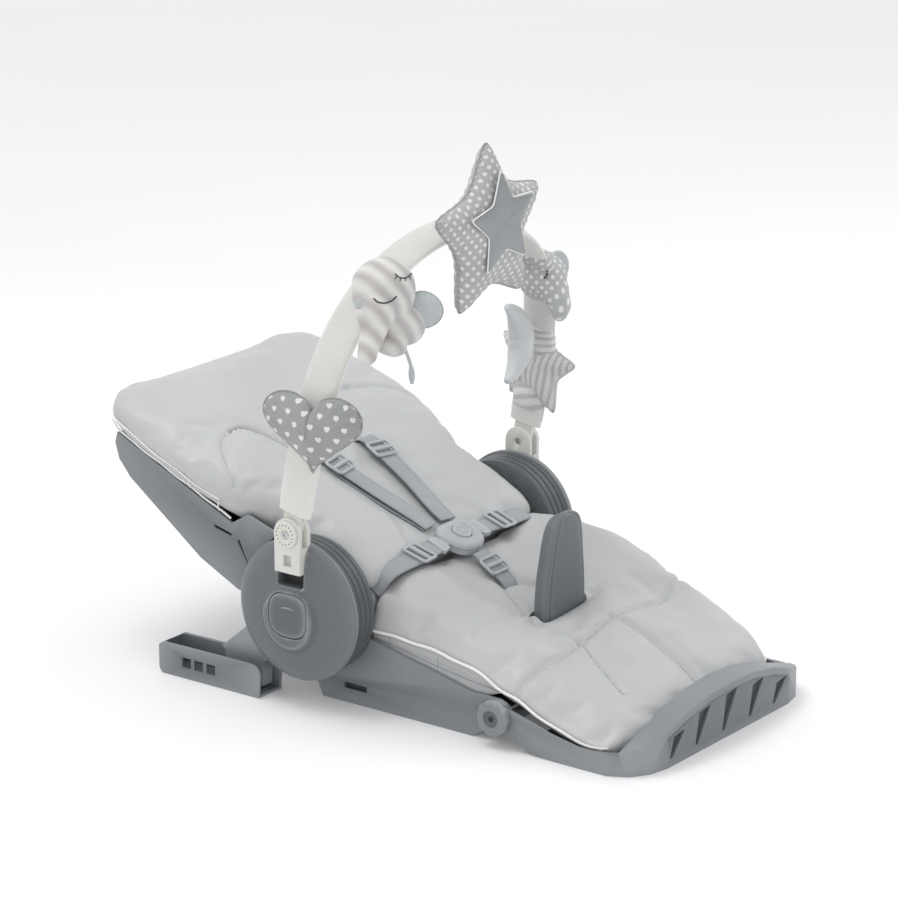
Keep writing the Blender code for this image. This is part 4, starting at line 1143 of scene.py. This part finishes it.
def hub_drum(side_name, side):
    """Ribbed bands between the cover and the seat, with the web down to the rear foot."""
    profile = [(170.6, 72.0), (170.8, 76.0), (172.2, 78.4), (174.0, 79.0)]
    edge, radius = 174.0, 79.0
    for width in (6.0, 7.5, 7.5, 6.0):
        profile += [(edge + width - 0.9, radius + 0.25), (edge + width - 0.3, radius - 0.5),
                    (edge + width, radius - 3.2), (edge + width + 0.7, radius - 3.2),
                    (edge + width + 0.9, radius - 0.3), (edge + width + 1.3, radius + 0.4)]
        edge += width + 1.3
        radius += 0.4
    profile += [(205.0, 80.4), (205.4, 79.6), (205.4, 74.5), (176.0, 74.5), (176.0, 31.0), (170.6, 31.0)]
    drum = turned_x("hub_drum_" + side_name, side, profile, "dark_plastic", sharp=40)
    place(drum, "base", "hub_housing_" + side_name)
    web = [(20, 60), (52, 100), (69, 86), (117, 45), (112, 41), (112, 8), (58, 8), (56, 38), (40, 46)]
    middle_y, middle_z = 60, 55
    rings = [[hub(middle_y + (y - middle_y) * share, middle_z + (z - middle_z) * share, side * x)
              for y, z in web] for x, share in ((187.0, 0.975), (188.0, 1.0), (204.2, 1.0), (205.2, 0.975))]
    place(loft("hub_web_" + side_name, rings, "dark_plastic"), "base")
    lining = [(169.9, 44), (169.2, 48), (168.8, 60), (169.4, 71), (170.3, 75), (170.9, 75), (170.9, 44)]
    place(turned_x("hub_lining_" + side_name, side, lining, "lining"), "base")


def hinge_cap(side_name, side):
    """A cap with ten facets and a recessed screw."""
    axis = (LEG_HINGE_Y, LEG_HINGE_Z)
    rings = []
    for x, r in ((180.4, 20.2), (186.6, 20.2), (188.6, 18.6), (189.6, 16.5), (189.9, 11.5), (189.2, 9.4),
                 (188.2, 8.8), (188.0, 6.6)):
        faceted = min(max((r - 9) / 9, 0), 1)
        rings.append([about_x(side, x, r * (1 - faceted + faceted * polygon_share(a, 10) * 1.02), a, axis)
                      for a in turns(80)])
    place(loft("hinge_cap_cover_" + side_name, rings, "dark_plastic", sharp=22), "base",
          "hinge_cap_" + side_name)
    screw_head("hinge_screw_" + side_name, side, axis, 188.0, 3.6, 1.0, "base", "deep_plastic")


def screw_head(name, side, centre, x, radius, height, body, material="steel"):
    """A domed screw with a hexagonal socket."""
    dome = ((1.0, 0.0), (1.0, 0.5), (0.86, 0.95), (0.55, 1.1), (0.5, 1.05))
    rings = [[about_x(side, x + height * out, radius * share, a, centre) for a in turns(48)]
             for share, out in dome]
    rings += [[about_x(side, x + height * out, radius * share * polygon_share(a, 6), a, centre)
               for a in turns(48)] for share, out in ((0.48, 0.9), (0.46, 0.2))]
    place(loft(name, rings, material, sharp=28), body)


# ---------------------------------------------------------------- crease, vents and crotch post

def crease_roll():
    """The tucked cloth that closes the crease between the seat cover and the back cover."""
    rings = []
    for i in range(65):
        x = -162 + 324 * i / 64
        ends = min(1.0, 0.62 + (162 - abs(x)) / 40)
        ring = []
        for a in turns(20):
            r = 19 * ends * (1 + 0.06 * noise(Vector((x * 0.04, math.cos(a), math.sin(a)))))
            ring.append(hub(-47 + 0.72 * r * math.cos(a), 110 + 1.15 * r * math.sin(a), x))
        rings.append(ring)
    place(loft("crease_roll", rings, "gusset", sharp=60), "base")
    for side_name, side in SIDES.items():
        outline = [(-69, 13), (-69, 28), (-29, 28), (-29, 13)]
        rings = [[hub(y, z, side * x) for y, z in outline] for x in (163.6, 164.6)]
        place(loft("panel_slot_shadow_" + side_name, rings, "deep_plastic"), "base")


def tray_vents():
    """The dark space behind the five slanted openings in the tray's front."""
    parts = []
    for middle in (-104, -54, 0, 54, 104):
        top = 52 - 0.0016 * middle * middle
        wedge = [(middle - 7, top - 1.5), (middle + 15, top + 1.5), (middle - 9, 10), (middle - 14, 10)]
        rings = [[hub(y, z, x) for x, z in wedge] for y in (-427.1, -436.5)]
        parts.append(loft_data(rings))
    place(joined("tray_vent_shadows", parts, "deep_plastic"), "leg_rest")


def crotch_post():
    """A paddle with a rounded rim round a flat face, standing through the pad."""
    stations = [(52, -209.5, 39, 10.5), (112, -209.5, 39, 11), (140, -210, 37, 11), (165, -211, 33.5, 10.5),
                (190, -212.5, 29.5, 10), (200, -213.2, 27.0, 9.4), (206, -213.7, 24.5, 8.6),
                (211, -214, 20.5, 7.2), (214, -214.4, 15, 5.4), (215.4, -214.6, 8, 3.2)]
    rings = []
    for i in range(61):
        z = 52 + (215.4 - 52) * math.sin(math.pi / 2 * i / 60)
        y, half_width, half_depth = (curve([(st[0], st[k]) for st in stations], z) for k in (1, 2, 3))
        ring = []
        for a in turns(72):
            s = math.sin(a)
            x = 1.05 * half_width * blunt(math.cos(a), 0.42)
            depth = half_depth * blunt(s, 0.55)
            inner = (half_width - abs(x)) / half_width
            groove = 0.9 * math.exp(-((inner * half_width - 6.5) / 1.1) ** 2) * step(0.4, 0.8, abs(s))
            ring.append(hub(y + depth - math.copysign(groove, depth), z, x))
        rings.append(ring)
    place(loft("crotch_post_paddle", rings, "dark_plastic", sharp=50), "post", "crotch_post")


# ---------------------------------------------------------------- harness

def webbing(name, points, across, thickness=1.7, width=25.0, material="webbing"):
    """A woven strap along a smooth line, with its own flat coordinates for the weave."""
    line = spline(points, 12)
    profile = [(-0.5, -0.25), (-0.47, -0.5), (-0.3, -0.52), (0.0, -0.5), (0.3, -0.52), (0.47, -0.5),
               (0.5, -0.25), (0.5, 0.25), (0.47, 0.5), (0.3, 0.52), (0.0, 0.5), (-0.3, 0.52), (-0.47, 0.5),
               (-0.5, 0.25)]
    rings, uvs, travelled = [], [], 0.0
    for i, point in enumerate(line):
        before, after = line[max(i - 1, 0)], line[min(i + 1, len(line) - 1)]
        direction = (after - before).normalized()
        side = (across - direction * across.dot(direction)).normalized()
        up = direction.cross(side)
        travelled += (point - before).length
        rings.append([point + side * u * width * MM + up * v * thickness * MM for u, v in profile])
        uvs += [(travelled, u * width * MM) for u, _ in profile]
    return loft(name, rings, material, sharp=50, uvs=uvs)


def slide_adjuster(node, centre, along, across):
    """A rounded three-bar slide: a hooped frame with a ribbed roller across its middle."""
    along = along.normalized()
    across = (across - along * across.dot(along)).normalized()
    up = along.cross(across)
    if up.z < 0:
        up = -up
    centre = centre + up * 2.7 * MM
    half_length, half_width, corner = 11.6, 15.8, 3.6
    hoop = []
    for end, edge, start in ((1, 1, 0), (-1, 1, 90), (-1, -1, 180), (1, -1, 270)):
        for k in range(6):
            a = math.radians(start + 18 * k)
            hoop.append(centre + along * (end * (half_length - corner) + corner * math.cos(a)) * MM
                        + across * (edge * (half_width - corner) + corner * math.sin(a)) * MM)
    parts = [tube_data(hoop, 1.9 * MM, 10, closed=True)]
    bar = [centre + across * t * half_width * MM for t in (-0.97, -0.6, 0, 0.6, 0.97)]
    parts.append(tube_data(bar, lambda t: (2.2 + 0.7 * math.sin(math.pi * t)) * MM, 12))
    piece = joined(node + "_slide", parts, "light_plastic", sharp=50)
    place(piece, BODY_OF[node], node)


X_AXIS = Vector((1, 0, 0))


def from_buckle(x, y, z):
    return BUCKLE + Vector((x, y, z)) * MM


def shoulder_strap(side_name, side):
    top = [back(150, 55, side * 43), back(142, 69, side * 42), back(120, 71.2, side * 40),
           back(60, 70, side * 31), back(10, 67.8, side * 20), in_harness(side * 16.5, 30, 0.3)]
    below = [back(112, 68.6, side * 40.5), back(90, 66.6, side * 38), back(50, 65.6, side * 31.5),
             back(10, 64.6, side * 22), in_harness(side * 17.5, 32, -2.2)]
    stretch = ("base", "backrest", in_harness(0, 30, 0), back(60, 70))
    bent(webbing("shoulder_webbing_" + side_name, top, X_AXIS), *stretch, "shoulder_strap_" + side_name)
    bent(webbing("shoulder_underlay_" + side_name, below, X_AXIS, 1.4, 25.5, "seam_shadow"), *stretch)
    upper, lower = back(120, 71.4, side * 40), back(60, 70.2, side * 31)
    slide_adjuster("shoulder_adjuster_" + side_name, upper.lerp(lower, 0.1), upper - lower, X_AXIS)


def waist_strap(side_name, side):
    across = Vector((0, 1, 0.3))
    out, near = from_buckle(side * 124, -4, -2.5), from_buckle(side * 43, 0, 0)
    line = [out + Vector((side * 20, 18, -24)) * MM, out + Vector((side * 8, 5, -4)) * MM,
            out.lerp(near, 0.5) + Vector((0, 0, -0.9 * MM)), near]
    place(webbing("waist_webbing_" + side_name, line, across), "base", "waist_strap_" + side_name)
    near = from_buckle(side * 46, 0, 0)
    slide_adjuster("waist_adjuster_" + side_name, near.lerp(out, 0.4), out - near, across)


def crotch_strap():
    low, high = from_buckle(0, -66, -36), from_buckle(0, -29, -12.5)
    line = [low + Vector((0, -12, -28)) * MM, low + Vector((0, -5, -5)) * MM, low.lerp(high, 0.5), high]
    place(webbing("crotch_webbing", line, X_AXIS), "base", "crotch_strap")
    slide_adjuster("crotch_adjuster", low.lerp(high, 0.45), low - high, X_AXIS)


def harness():
    for side_name, side in SIDES.items():
        shoulder_strap(side_name, side)
        waist_strap(side_name, side)
        tongue(side_name, side)
    crotch_strap()
    buckle()


def plate(outline, levels):
    """Rings of an outline in the buckle's plane; levels are (height out, inset)."""
    rings = []
    for out, inset in levels:
        shares = [1 - inset / max(math.hypot(x, v), 1e-6) for x, v in outline]
        rings.append([in_harness(x * share, v * share, out) for (x, v), share in zip(outline, shares)])
    return rings


BUCKLE_OUTLINE = [(-27, -8), (-24, -17), (-17, -24), (-8, -27), (0, -27.5), (8, -27), (17, -24), (24, -17),
                  (27, -8), (29, 0), (29, 8), (26, 15), (20, 20), (10, 22), (0, 22.5), (-10, 22), (-20, 20),
                  (-26, 15), (-29, 8), (-29, 0)]
PRESS_V = -1


def press_ring(radius, out):
    """A circle round the buckle's button."""
    return [in_harness(x, PRESS_V + v, out) for x, v in oval(radius, radius, 64)]


def buckle_press():
    levels = [(4.6, 11.7), (8.8, 11.7), (9.7, 11.2), (10.1, 10.0), (9.9, 8.8), (9.5, 8.0), (9.5, 6.0),
              (9.7, 3.0), (9.7, 0.5)]
    rings = [press_ring(radius, out) for out, radius in levels]
    place(loft("buckle_press", rings, "light_plastic", sharp=35), "buckle_release", "buckle_button")


def buckle_ribs():
    """Two raised arcs round the button and three short ribs at the lower end."""
    parts = []
    for start in (25, 205):
        path = []
        for turn in range(0, 131, 10):
            a = math.radians(start + turn)
            path.append(in_harness(17.0 * math.cos(a), PRESS_V + 15.5 * math.sin(a),
                                   8.4 - 0.01 * abs(turn - 65)))
        parts.append(tube_data(path, 0.6 * MM, 6))
    for x in (-7, 0, 7):
        parts.append(tube_data([in_harness(x - 3, -25.5, 3.4), in_harness(x + 3, -25.5, 3.4)], 0.6 * MM, 6))
    place(joined("buckle_ribs", parts, "light_plastic"), "base")


def buckle():
    fine = [(p.x, p.y) for p in spline([(x, v, 0) for x, v in BUCKLE_OUTLINE], 5, closed=True)]
    levels = [(-7, 2.0), (-6, 0.4), (-4, 0), (1.0, 0), (1.2, 0.9), (1.9, 0.9), (2.1, 0), (5.0, 0.6),
              (6.8, 2.2), (8.0, 5.0), (8.6, 9.0), (8.7, 12.0), (8.3, 12.9)]
    housing = loft("buckle_shell", plate(fine, levels), "light_plastic", sharp=40)
    boolean(housing, loft("button_cutter", [press_ring(12.4, out) for out in (2.0, 20)], "light_plastic"))
    place(housing, "base", "buckle_housing")
    buckle_press()
    buckle_ribs()


def tongue(side_name, side):
    blade = [(17, -7), (17, 7), (30, 7), (33, 12), (43, 14.5), (45.5, 12), (45.5, -12), (43, -14.5),
             (33, -12), (30, -7)]
    middle = 34
    rings = [[in_harness(side * (middle + (x - middle) * share), v * share, out) for x, v in blade]
             for out, share in ((-2.7, 0.95), (-2.1, 1.0), (2.1, 1.0), (2.7, 0.95))]
    piece = loft("buckle_tongue_blade_" + side_name, rings, "light_plastic")
    ribs = [tube_data([in_harness(side * x, v, 2.5) for v in (-9, 0, 9)], 0.7 * MM, 6)
            for x in (34.5, 37.5, 40.5)]
    place(joined("buckle_tongue_ribs_" + side_name, ribs, "light_plastic"), "tongue_" + side_name)
    place(piece, "tongue_" + side_name, "buckle_tongue_" + side_name)


# ---------------------------------------------------------------- toy bar

def band_ring(t, half_width, half_thick, ripple=0.0, count=28):
    """One cross-section of the padded band, with its flat coordinates."""
    x, up = arch_point(t)
    x0, up0 = arch_point(max(t - 0.01, -1))
    x1, up1 = arch_point(min(t + 0.01, 1))
    slope = Vector((x1 - x0, up1 - up0)).normalized()
    inward = Vector((slope.y, -slope.x))
    ring, coords = [], []
    for a in turns(count):
        across = blunt(math.cos(a), 0.55)
        thick = blunt(math.sin(a), 0.8) * (1 - 0.25 * across ** 4)
        wrinkle = 1 + ripple * noise(Vector((t * 26, across * 2.2, math.copysign(1, thick))))
        ring.append(on_bar(x + inward.x * thick * half_thick * wrinkle,
                           up + inward.y * thick * half_thick * wrinkle, across * half_width))
        coords.append((t * 0.47, across * half_width))
    return ring, coords


def band(name, t0, t1, half_width, half_thick, material, ripple, count, gather=0.0):
    rings, uvs = [], []
    for i in range(count + 1):
        t = t0 + (t1 - t0) * i / count
        swell = 1 + gather * math.sin(i * 2.4) + gather * 0.7 * math.sin(i * 1.1)
        ends = 1 if gather == 0 else 0.75 + 0.25 * math.sin(math.pi * min(max(i / count, 0), 1)) ** 0.4
        ring, coords = band_ring(t, half_width * (1 + gather * 0.3 * math.sin(i * 1.7)) * ends,
                                 half_thick * swell * ends, ripple)
        rings.append(ring)
        uvs += coords
    return loft(name, rings, material, sharp=70, uvs=uvs)


def arch_hem(edge):
    """The seam along one edge of the band; edge is -1 at the back and 1 in front."""
    path = []
    for i in range(161):
        x, up = arch_point(-0.995 + 1.99 * i / 160)
        path.append(on_bar(x, up, edge * (BAND_HALF_WIDTH + 0.0004)))
    return tube_data(path, 0.9 * MM, 6)


def arch_tang(side_name, side):
    """The rounded plate that joins the arch's end to its pivot."""
    outline = []
    for k in range(17):
        a = math.pi + math.pi * k / 16
        outline.append((HUB_Y + 0.0125 * math.cos(a), BAR_Z + 0.0125 * math.sin(a)))
    outline += [(p.y, p.z) for p in (on_bar(0, 0.034, -0.0125), on_bar(0, 0.034, 0.0125))]
    middle_y, middle_z = HUB_Y - 0.002, BAR_Z + 0.012
    rings = [[Vector((side * x, y + (middle_y - y) * inset, z + (middle_z - z) * inset)) for y, z in outline]
             for x, inset in ((0.2148, 0.07), (0.2155, 0.0), (0.2225, 0.0), (0.2232, 0.07))]
    place(loft("arch_tang_" + side_name, rings, "ivory_plastic"), "toy_bar")


def toy_bar():
    cover = band("arch_cover", -1, 1, BAND_HALF_WIDTH, BAND_HALF_THICKNESS, "white_cloth", 0.22, 220)
    place(cover, "toy_bar", "toy_bar_arch")
    place(joined("arch_seams", [arch_hem(-1), arch_hem(1)], "white_cloth", sharp=70), "toy_bar")
    for side_name, side in SIDES.items():
        arch_tang(side_name, side)
        ratchet(side_name, side)
        polished("toy_bar_clip_" + side_name, 0.0009)


def ratchet(side_name, side):
    """A toothed disc with a ring of small holes and the pivot's screw."""
    pivot = (HUB_Y, BAR_Z)
    rings = []
    for x, r, depth in ((229.3, 15.2, 0.5), (229.8, 16.0, 0.6), (232.2, 16.0, 0.6), (232.9, 15.3, 0.4),
                        (233.0, 13.6, 0), (233.0, 9.2, 0), (232.4, 8.6, 0), (232.2, 6.0, 0), (231.4, 5.6, 0)):
        rings.append([about_x(side, x, r - depth * (0.5 - 0.5 * math.cos(30 * a)), a, pivot)
                      for a in turns(120)])
    place(loft("ratchet_knob_" + side_name, rings, "ivory_plastic", sharp=40), "toy_bar",
          "ratchet_disc_" + side_name)
    # Black plugs in the disc: painted shade in its ring of small holes.
    holes = []
    for k in range(16):
        a = 2 * math.pi * (k + 0.5) / 16
        line = [about_x(side, x, 11.4, a, pivot) for x in (231.65, 233.05)]
        holes.append(tube_data(line, 0.85 * MM, 10))
    place(joined("ratchet_holes_" + side_name, holes, "deep_plastic"), "toy_bar")
    screw_head("pivot_screw_" + side_name, side, pivot, 231.3, 4.6, 1.2, "toy_bar")


# ---------------------------------------------------------------- toys

def star_outline(outer, inner, turn, rounds, count=14):
    """A five-pointed star with straight sides; each round of smoothing blunts its corners more."""
    corners = []
    for k in range(10):
        a = math.radians(turn + 36 * k)
        radius = inner if k % 2 else outer
        corners.append(Vector((radius * math.cos(a), radius * math.sin(a))))
    points = [a.lerp(b, k / count) for a, b in zip(corners, corners[1:] + corners[:1]) for k in range(count)]
    for _ in range(rounds):
        points = [(points[i - 1] + points[i] * 2 + points[(i + 1) % len(points)]) / 4
                  for i in range(len(points))]
    return [tuple(p) for p in points]


def heart_outline(width, flatten, count=96):
    points = []
    for t in turns(count):
        x = 16 * math.sin(t) ** 3
        y = 13 * math.cos(t) - 5 * math.cos(2 * t) - 2 * math.cos(3 * t) - math.cos(4 * t)
        points.append((x * width / 32, (y + 2.5) * flatten * width / 32))
    return points


def facing(centre, normal_angle):
    a = math.radians(normal_angle)
    normal = Vector((math.cos(a), math.sin(a), 0))
    across = Vector((-math.sin(a), math.cos(a), 0))
    return lambda u, v, out: centre + across * u + Vector((0, 0, v)) + normal * out


def print_spread(share, reach, half_thick, plump):
    """How far out the print lies when the cloth follows the crowned face instead of the flat outline."""
    length, before = 0.0, (0.0, half_thick)
    steps = 24
    for k in range(1, steps + 1):
        t = share * k / steps
        now = (t * reach, half_thick * (1 - t ** 2.3) ** plump)
        length += math.hypot(now[0] - before[0], now[1] - before[1])
        before = now
    return length / reach


def stuffed(name, outline, thickness, where, material, plump=0.62, pucker=0.0011, seed=0.0):
    """A stuffed cloth cut-out: two crowned faces joined by a puckered seam."""
    shares = [0.02, 0.12, 0.24, 0.36, 0.48, 0.6, 0.7, 0.79, 0.86, 0.915, 0.955, 0.985]
    levels = [(s, 1) for s in shares] + [(1.0, 0)] + [(s, -1) for s in reversed(shares)]
    reach = max(math.hypot(u, v) for u, v in outline) * 0.8
    core = min(math.hypot(u, v) for u, v in outline)
    rings, uvs = [], []
    for share, face in levels:
        rise = (1 - share ** 2.3) ** plump
        print_share = print_spread(share, reach, thickness / 2, plump)
        ring = []
        for k, (u, v) in enumerate(outline):
            fold = pucker * math.sin(k * 2.1 + seed) * step(0.6, 0.97, share)
            lump = 1 + 0.10 * noise(Vector((u * 38 + seed, v * 38, face * 2.0)))
            outward = share ** 1.6
            pull = outward + (1 - outward) * core / math.hypot(u, v)
            ring.append(where(u * pull * share, v * pull * share,
                              face * (rise * thickness / 2 * lump + fold)))
            uvs.append((u * pull * print_share + 10 + 0.05 * face, v * pull * print_share + 10))
        rings.append(ring)
    return loft(name, rings, material, sharp=80, uvs=uvs)


def seam_cord(name, outline, where, radius, material, share=1.004):
    path = [where(u * share, v * share, 0.0) for u, v in outline]
    return tube(name, path, radius * MM, material, 6, closed=True)


def wrap_uvs(mesh, centre, size):
    """Flat coordinates that run round a toy's head, with their seam away from the viewer."""
    layer = mesh.uv_layers.new(name="UVMap")
    right, up, away = view_axes()
    for loop in mesh.loops:
        offset = mesh.vertices[loop.vertex_index].co - centre
        turn = math.atan2(offset.dot(right), offset.dot(away))
        rise = math.atan2(offset.dot(up), math.hypot(offset.dot(right), offset.dot(away)))
        layer.data[loop.index].uv = (turn * size + 10, rise * size + 10)


def blob(name, balls, material, voxel=0.0024):
    """Round masses melted together into one stuffed body."""
    bm = bmesh.new()
    for centre, radii, turn in balls:
        ball = bmesh.ops.create_icosphere(bm, subdivisions=3, radius=1.0)
        spin = Matrix.Rotation(math.radians(turn), 3, "Y")
        for vert in ball["verts"]:
            vert.co = Vector(centre) + spin @ Vector([c * r for c, r in zip(vert.co, radii)])
    mesh = bpy.data.meshes.new(name)
    bm.to_mesh(mesh)
    bm.free()
    piece = finish_mesh(name, mesh, material, 180)
    remeshed(piece, voxel)
    soften(piece, 10)
    mesh = piece.data
    for vertex in mesh.vertices:
        vertex.co += vertex.normal * 0.0012 * noise(vertex.co * 60)
    mesh.shade_smooth()
    wrap_uvs(mesh, Vector(balls[0][0]), balls[0][1][0])
    mesh.materials.clear()
    mesh.materials.append(MATERIALS[material])
    return piece


def on_toy(piece, points, away):
    """Drop points onto a toy from outside, along away, and lift them a little."""
    tree = surface_tree(piece)
    made = []
    for point in points:
        hit = tree.ray_cast(point + away * 0.2, -away)[0]
        if hit is not None:
            made.append(hit + away * 0.0004)
    return made


def face_line(name, piece, centre, right, up, away, shape, radius=0.75):
    """An embroidered line; shape is a list of (right, up) in millimetres."""
    points = [centre + (right * u + up * v) * MM for u, v in shape]
    smooth = on_toy(piece, spline(points, 5), away)
    return tube(name, smooth, radius * MM, "dark_thread", 6)


def closed_eye(prefix, piece, centre, right, up, away, size, body):
    lid = [(u * size, v * size) for u, v in ((-1, 0.42), (-0.5, 0), (0, -0.12), (0.5, 0), (1, 0.42))]
    place(face_line(prefix + "_eyelid", piece, centre, right, up, away, lid), body)
    for number, (u, v, du) in enumerate(((-0.75, 0.2, -0.35), (-0.3, -0.05, -0.15), (0.25, -0.08, 0.1),
                                         (0.72, 0.15, 0.3))):
        lash = [(u * size, v * size), ((u + du * 0.6) * size, (v - 0.42) * size)]
        place(face_line(f"{prefix}_lash_{number}", piece, centre, right, up, away, lash, 0.55), body)


def view_axes():
    """Right, up and towards the viewer for faces that look at the camera's side of the bar."""
    a = math.radians(CAMERA_AZIMUTH)
    right = Vector((math.cos(a), math.sin(a), 0))
    away = Vector((math.sin(a), -math.cos(a), 0.25)).normalized()
    up = away.cross(right).normalized()
    return right, up, away


def heart_toy():
    where = facing(Vector((-0.2255, HUB_Y - 0.036, 0.330)), 188)
    outline = heart_outline(0.126, 0.79)
    place(stuffed("heart_plush", outline, 0.034, where, "heart_print"), "toy_bar", "heart_toy")
    place(seam_cord("heart_seam", outline, where, 0.6, "plush_seam"), "toy_bar")


def star_toy():
    centre = Vector((-0.003, HUB_Y - 0.110, 0.526))
    where = facing(centre, 270)
    outline = star_outline(0.109, 0.058, 93, 14)
    place(stuffed("star_plush", outline, 0.044, where, "dot_print", 0.55, seed=1.7), "toy_bar", "star_toy")
    place(seam_cord("star_seam", outline, where, 0.6, "plush_seam"), "toy_bar")
    glass = facing(centre + Vector((0, -0.0222, 0.012)), 270)
    shape = star_outline(0.062, 0.030, 96, 3)
    foil = stuffed("star_mirror_foil", shape, 0.0044, glass, "mirror_film", 0.12, 0.0)
    place(foil, "toy_bar", "star_mirror")
    place(seam_cord("mirror_edge", shape, glass, 0.9, "piping", 1.0), "toy_bar")


def elephant_toy():
    """A sleeping elephant hugging the bar: round head, trunk down its near side, one big ear."""
    head = (-0.134, HUB_Y - 0.064, 0.478)
    body = blob("elephant_plush", [
        (head, (0.040, 0.034, 0.037), 20), ((-0.158, HUB_Y - 0.072, 0.462), (0.022, 0.022, 0.026), 30),
        ((-0.170, HUB_Y - 0.078, 0.440), (0.013, 0.015, 0.034), 32),
        ((-0.184, HUB_Y - 0.080, 0.418), (0.010, 0.012, 0.014), 30),
        ((-0.112, HUB_Y - 0.070, 0.436), (0.036, 0.025, 0.024), 28),
        ((-0.134, HUB_Y - 0.074, 0.416), (0.019, 0.019, 0.013), 20)], "wide_stripes")
    place(body, "toy_bar", "elephant_toy")
    right, up, away = view_axes()
    centre = Vector(head)
    closed_eye("elephant", body, centre + right * 0.022 + up * 0.014, right, up, away, 9.0, "toy_bar")
    smile = [(-10, 3), (-5, -1), (2, -2), (9, 0), (15, 5)]
    place(face_line("elephant_smile", body, centre + up * -0.012, right, up, away, smile, 0.85), "toy_bar")
    ear_centre = Vector((-0.093, HUB_Y - 0.086, 0.450))
    outline = [(0.021 * math.cos(a) * (1 + 0.12 * math.cos(a + 0.6)), 0.021 * math.sin(a)) for a in turns(48)]
    where = facing(ear_centre, CAMERA_AZIMUTH + 270)
    place(stuffed("elephant_ear", outline, 0.012, where, "ear_cloth", 0.5), "toy_bar")
    place(seam_cord("elephant_ear_seam", outline, where, 0.7, "plush_seam"), "toy_bar")
    tip = facing(Vector((-0.186, HUB_Y - 0.070, 0.474)), CAMERA_AZIMUTH + 270)
    place(stuffed("elephant_far_ear", oval(0.0045, 0.0060, 24), 0.006, tip, "ear_cloth", 0.5), "toy_bar")
    tail = spline([Vector((-0.098, HUB_Y - 0.060, 0.412)), Vector((-0.088, HUB_Y - 0.060, 0.396)),
                   Vector((-0.082, HUB_Y - 0.062, 0.378)), Vector((-0.080, HUB_Y - 0.062, 0.358))], 6)
    place(tube("elephant_tail", tail,
               lambda t: (2.0 + 1.8 * step(0.62, 0.8, t) - 1.8 * step(0.86, 1.0, t)) * MM,
               "ear_cloth", 10), "toy_bar")


def small_elephant_toy():
    head = (0.190, HUB_Y - 0.048, 0.424)
    body = blob("small_elephant_plush", [
        (head, (0.029, 0.030, 0.030), 0), ((0.190, HUB_Y - 0.066, 0.408), (0.017, 0.018, 0.020), 0),
        ((0.190, HUB_Y - 0.074, 0.396), (0.012, 0.013, 0.024), 0)], "dot_print", 0.0022)
    place(body, "toy_bar", "small_elephant_toy")
    right, up, away = view_axes()
    closed_eye("small_elephant", body, Vector(head) + right * 0.004 + up * 0.004, up, -right, away, 7.0,
               "toy_bar")
    where = facing(Vector((0.216, HUB_Y - 0.052, 0.432)), CAMERA_AZIMUTH + 270)
    place(stuffed("small_elephant_ear", oval(0.013, 0.018, 40), 0.010, where, "ear_cloth", 0.5), "toy_bar")
    cuff = band("dotted_cuff", 0.50, 0.655, BAND_HALF_WIDTH + 0.0045, BAND_HALF_THICKNESS + 0.0050,
                "dot_print", 0.35, 46, gather=0.10)
    place(cuff, "toy_bar")


def moon_toy():
    centre = Vector((0.130, HUB_Y - 0.026, 0.346))
    rings = []
    for i in range(49):
        a = math.radians(-66 + 132 * i / 48)
        thick = 0.0035 + 0.0115 * max(math.cos(a * 1.35), 0) ** 0.9
        away = Vector((math.cos(a), 0, math.sin(a)))
        ring = []
        for t in turns(28):
            lump = 1 + 0.06 * noise(Vector((a * 6, math.cos(t) * 2, math.sin(t) * 2)))
            seam = 1 - 0.10 * math.exp(-((abs(math.sin(t))) / 0.12) ** 2)
            ring.append(centre + away * (0.0495 + thick * lump * seam * math.cos(t))
                        + Vector((0, thick * 1.05 * lump * math.sin(t), 0)))
        rings.append(ring)
    place(loft("moon_plush", rings, "moon_cloth", sharp=80), "toy_bar", "moon_toy")


def striped_star_toy():
    where = facing(Vector((0.2205, HUB_Y - 0.020, 0.306)), 352)
    outline = star_outline(0.066, 0.034, 100, 10)
    place(stuffed("striped_star_plush", outline, 0.034, where, "fine_stripes", 0.6, seed=0.6), "toy_bar",
          "striped_star_toy")
    place(seam_cord("striped_star_seam", outline, where, 0.6, "moon_cloth"), "toy_bar")
    sleeve = band("striped_sleeve", 0.80, 0.985, BAND_HALF_WIDTH + 0.0040, BAND_HALF_THICKNESS + 0.0042,
                  "fine_stripes", 0.35, 46, gather=0.05)
    place(sleeve, "toy_bar")


# ---------------------------------------------------------------- assembly

BEVELS = {"base_shell": 0.0011, "backrest_shell": 0.0011, "leg_rest_tray": 0.0010, "pivot_shaft": 0.0004}
PAIRED_BEVELS = {"rear_foot": 0.0010, "recline_ring": 0.0003, "lock_gear": 0.0003, "button_spring": 0.0}


def build():
    set_stage()
    for node, width in BEVELS.items():
        polished(node, width)
    for node, width in PAIRED_BEVELS.items():
        for side_name in SIDES:
            polished(f"{node}_{side_name}", width)
    seat_cover()
    back_cover()
    back_trim()
    crease_roll()
    for side_name, side in SIDES.items():
        side_padding(side_name, side)
        hub_cover(side_name, side)
        recline_button(side_name, side)
        hub_drum(side_name, side)
        hinge_cap(side_name, side)
    tray_vents()
    crotch_post()
    harness()
    toy_bar()
    heart_toy()
    star_toy()
    elephant_toy()
    small_elephant_toy()
    moon_toy()
    striped_star_toy()


build()
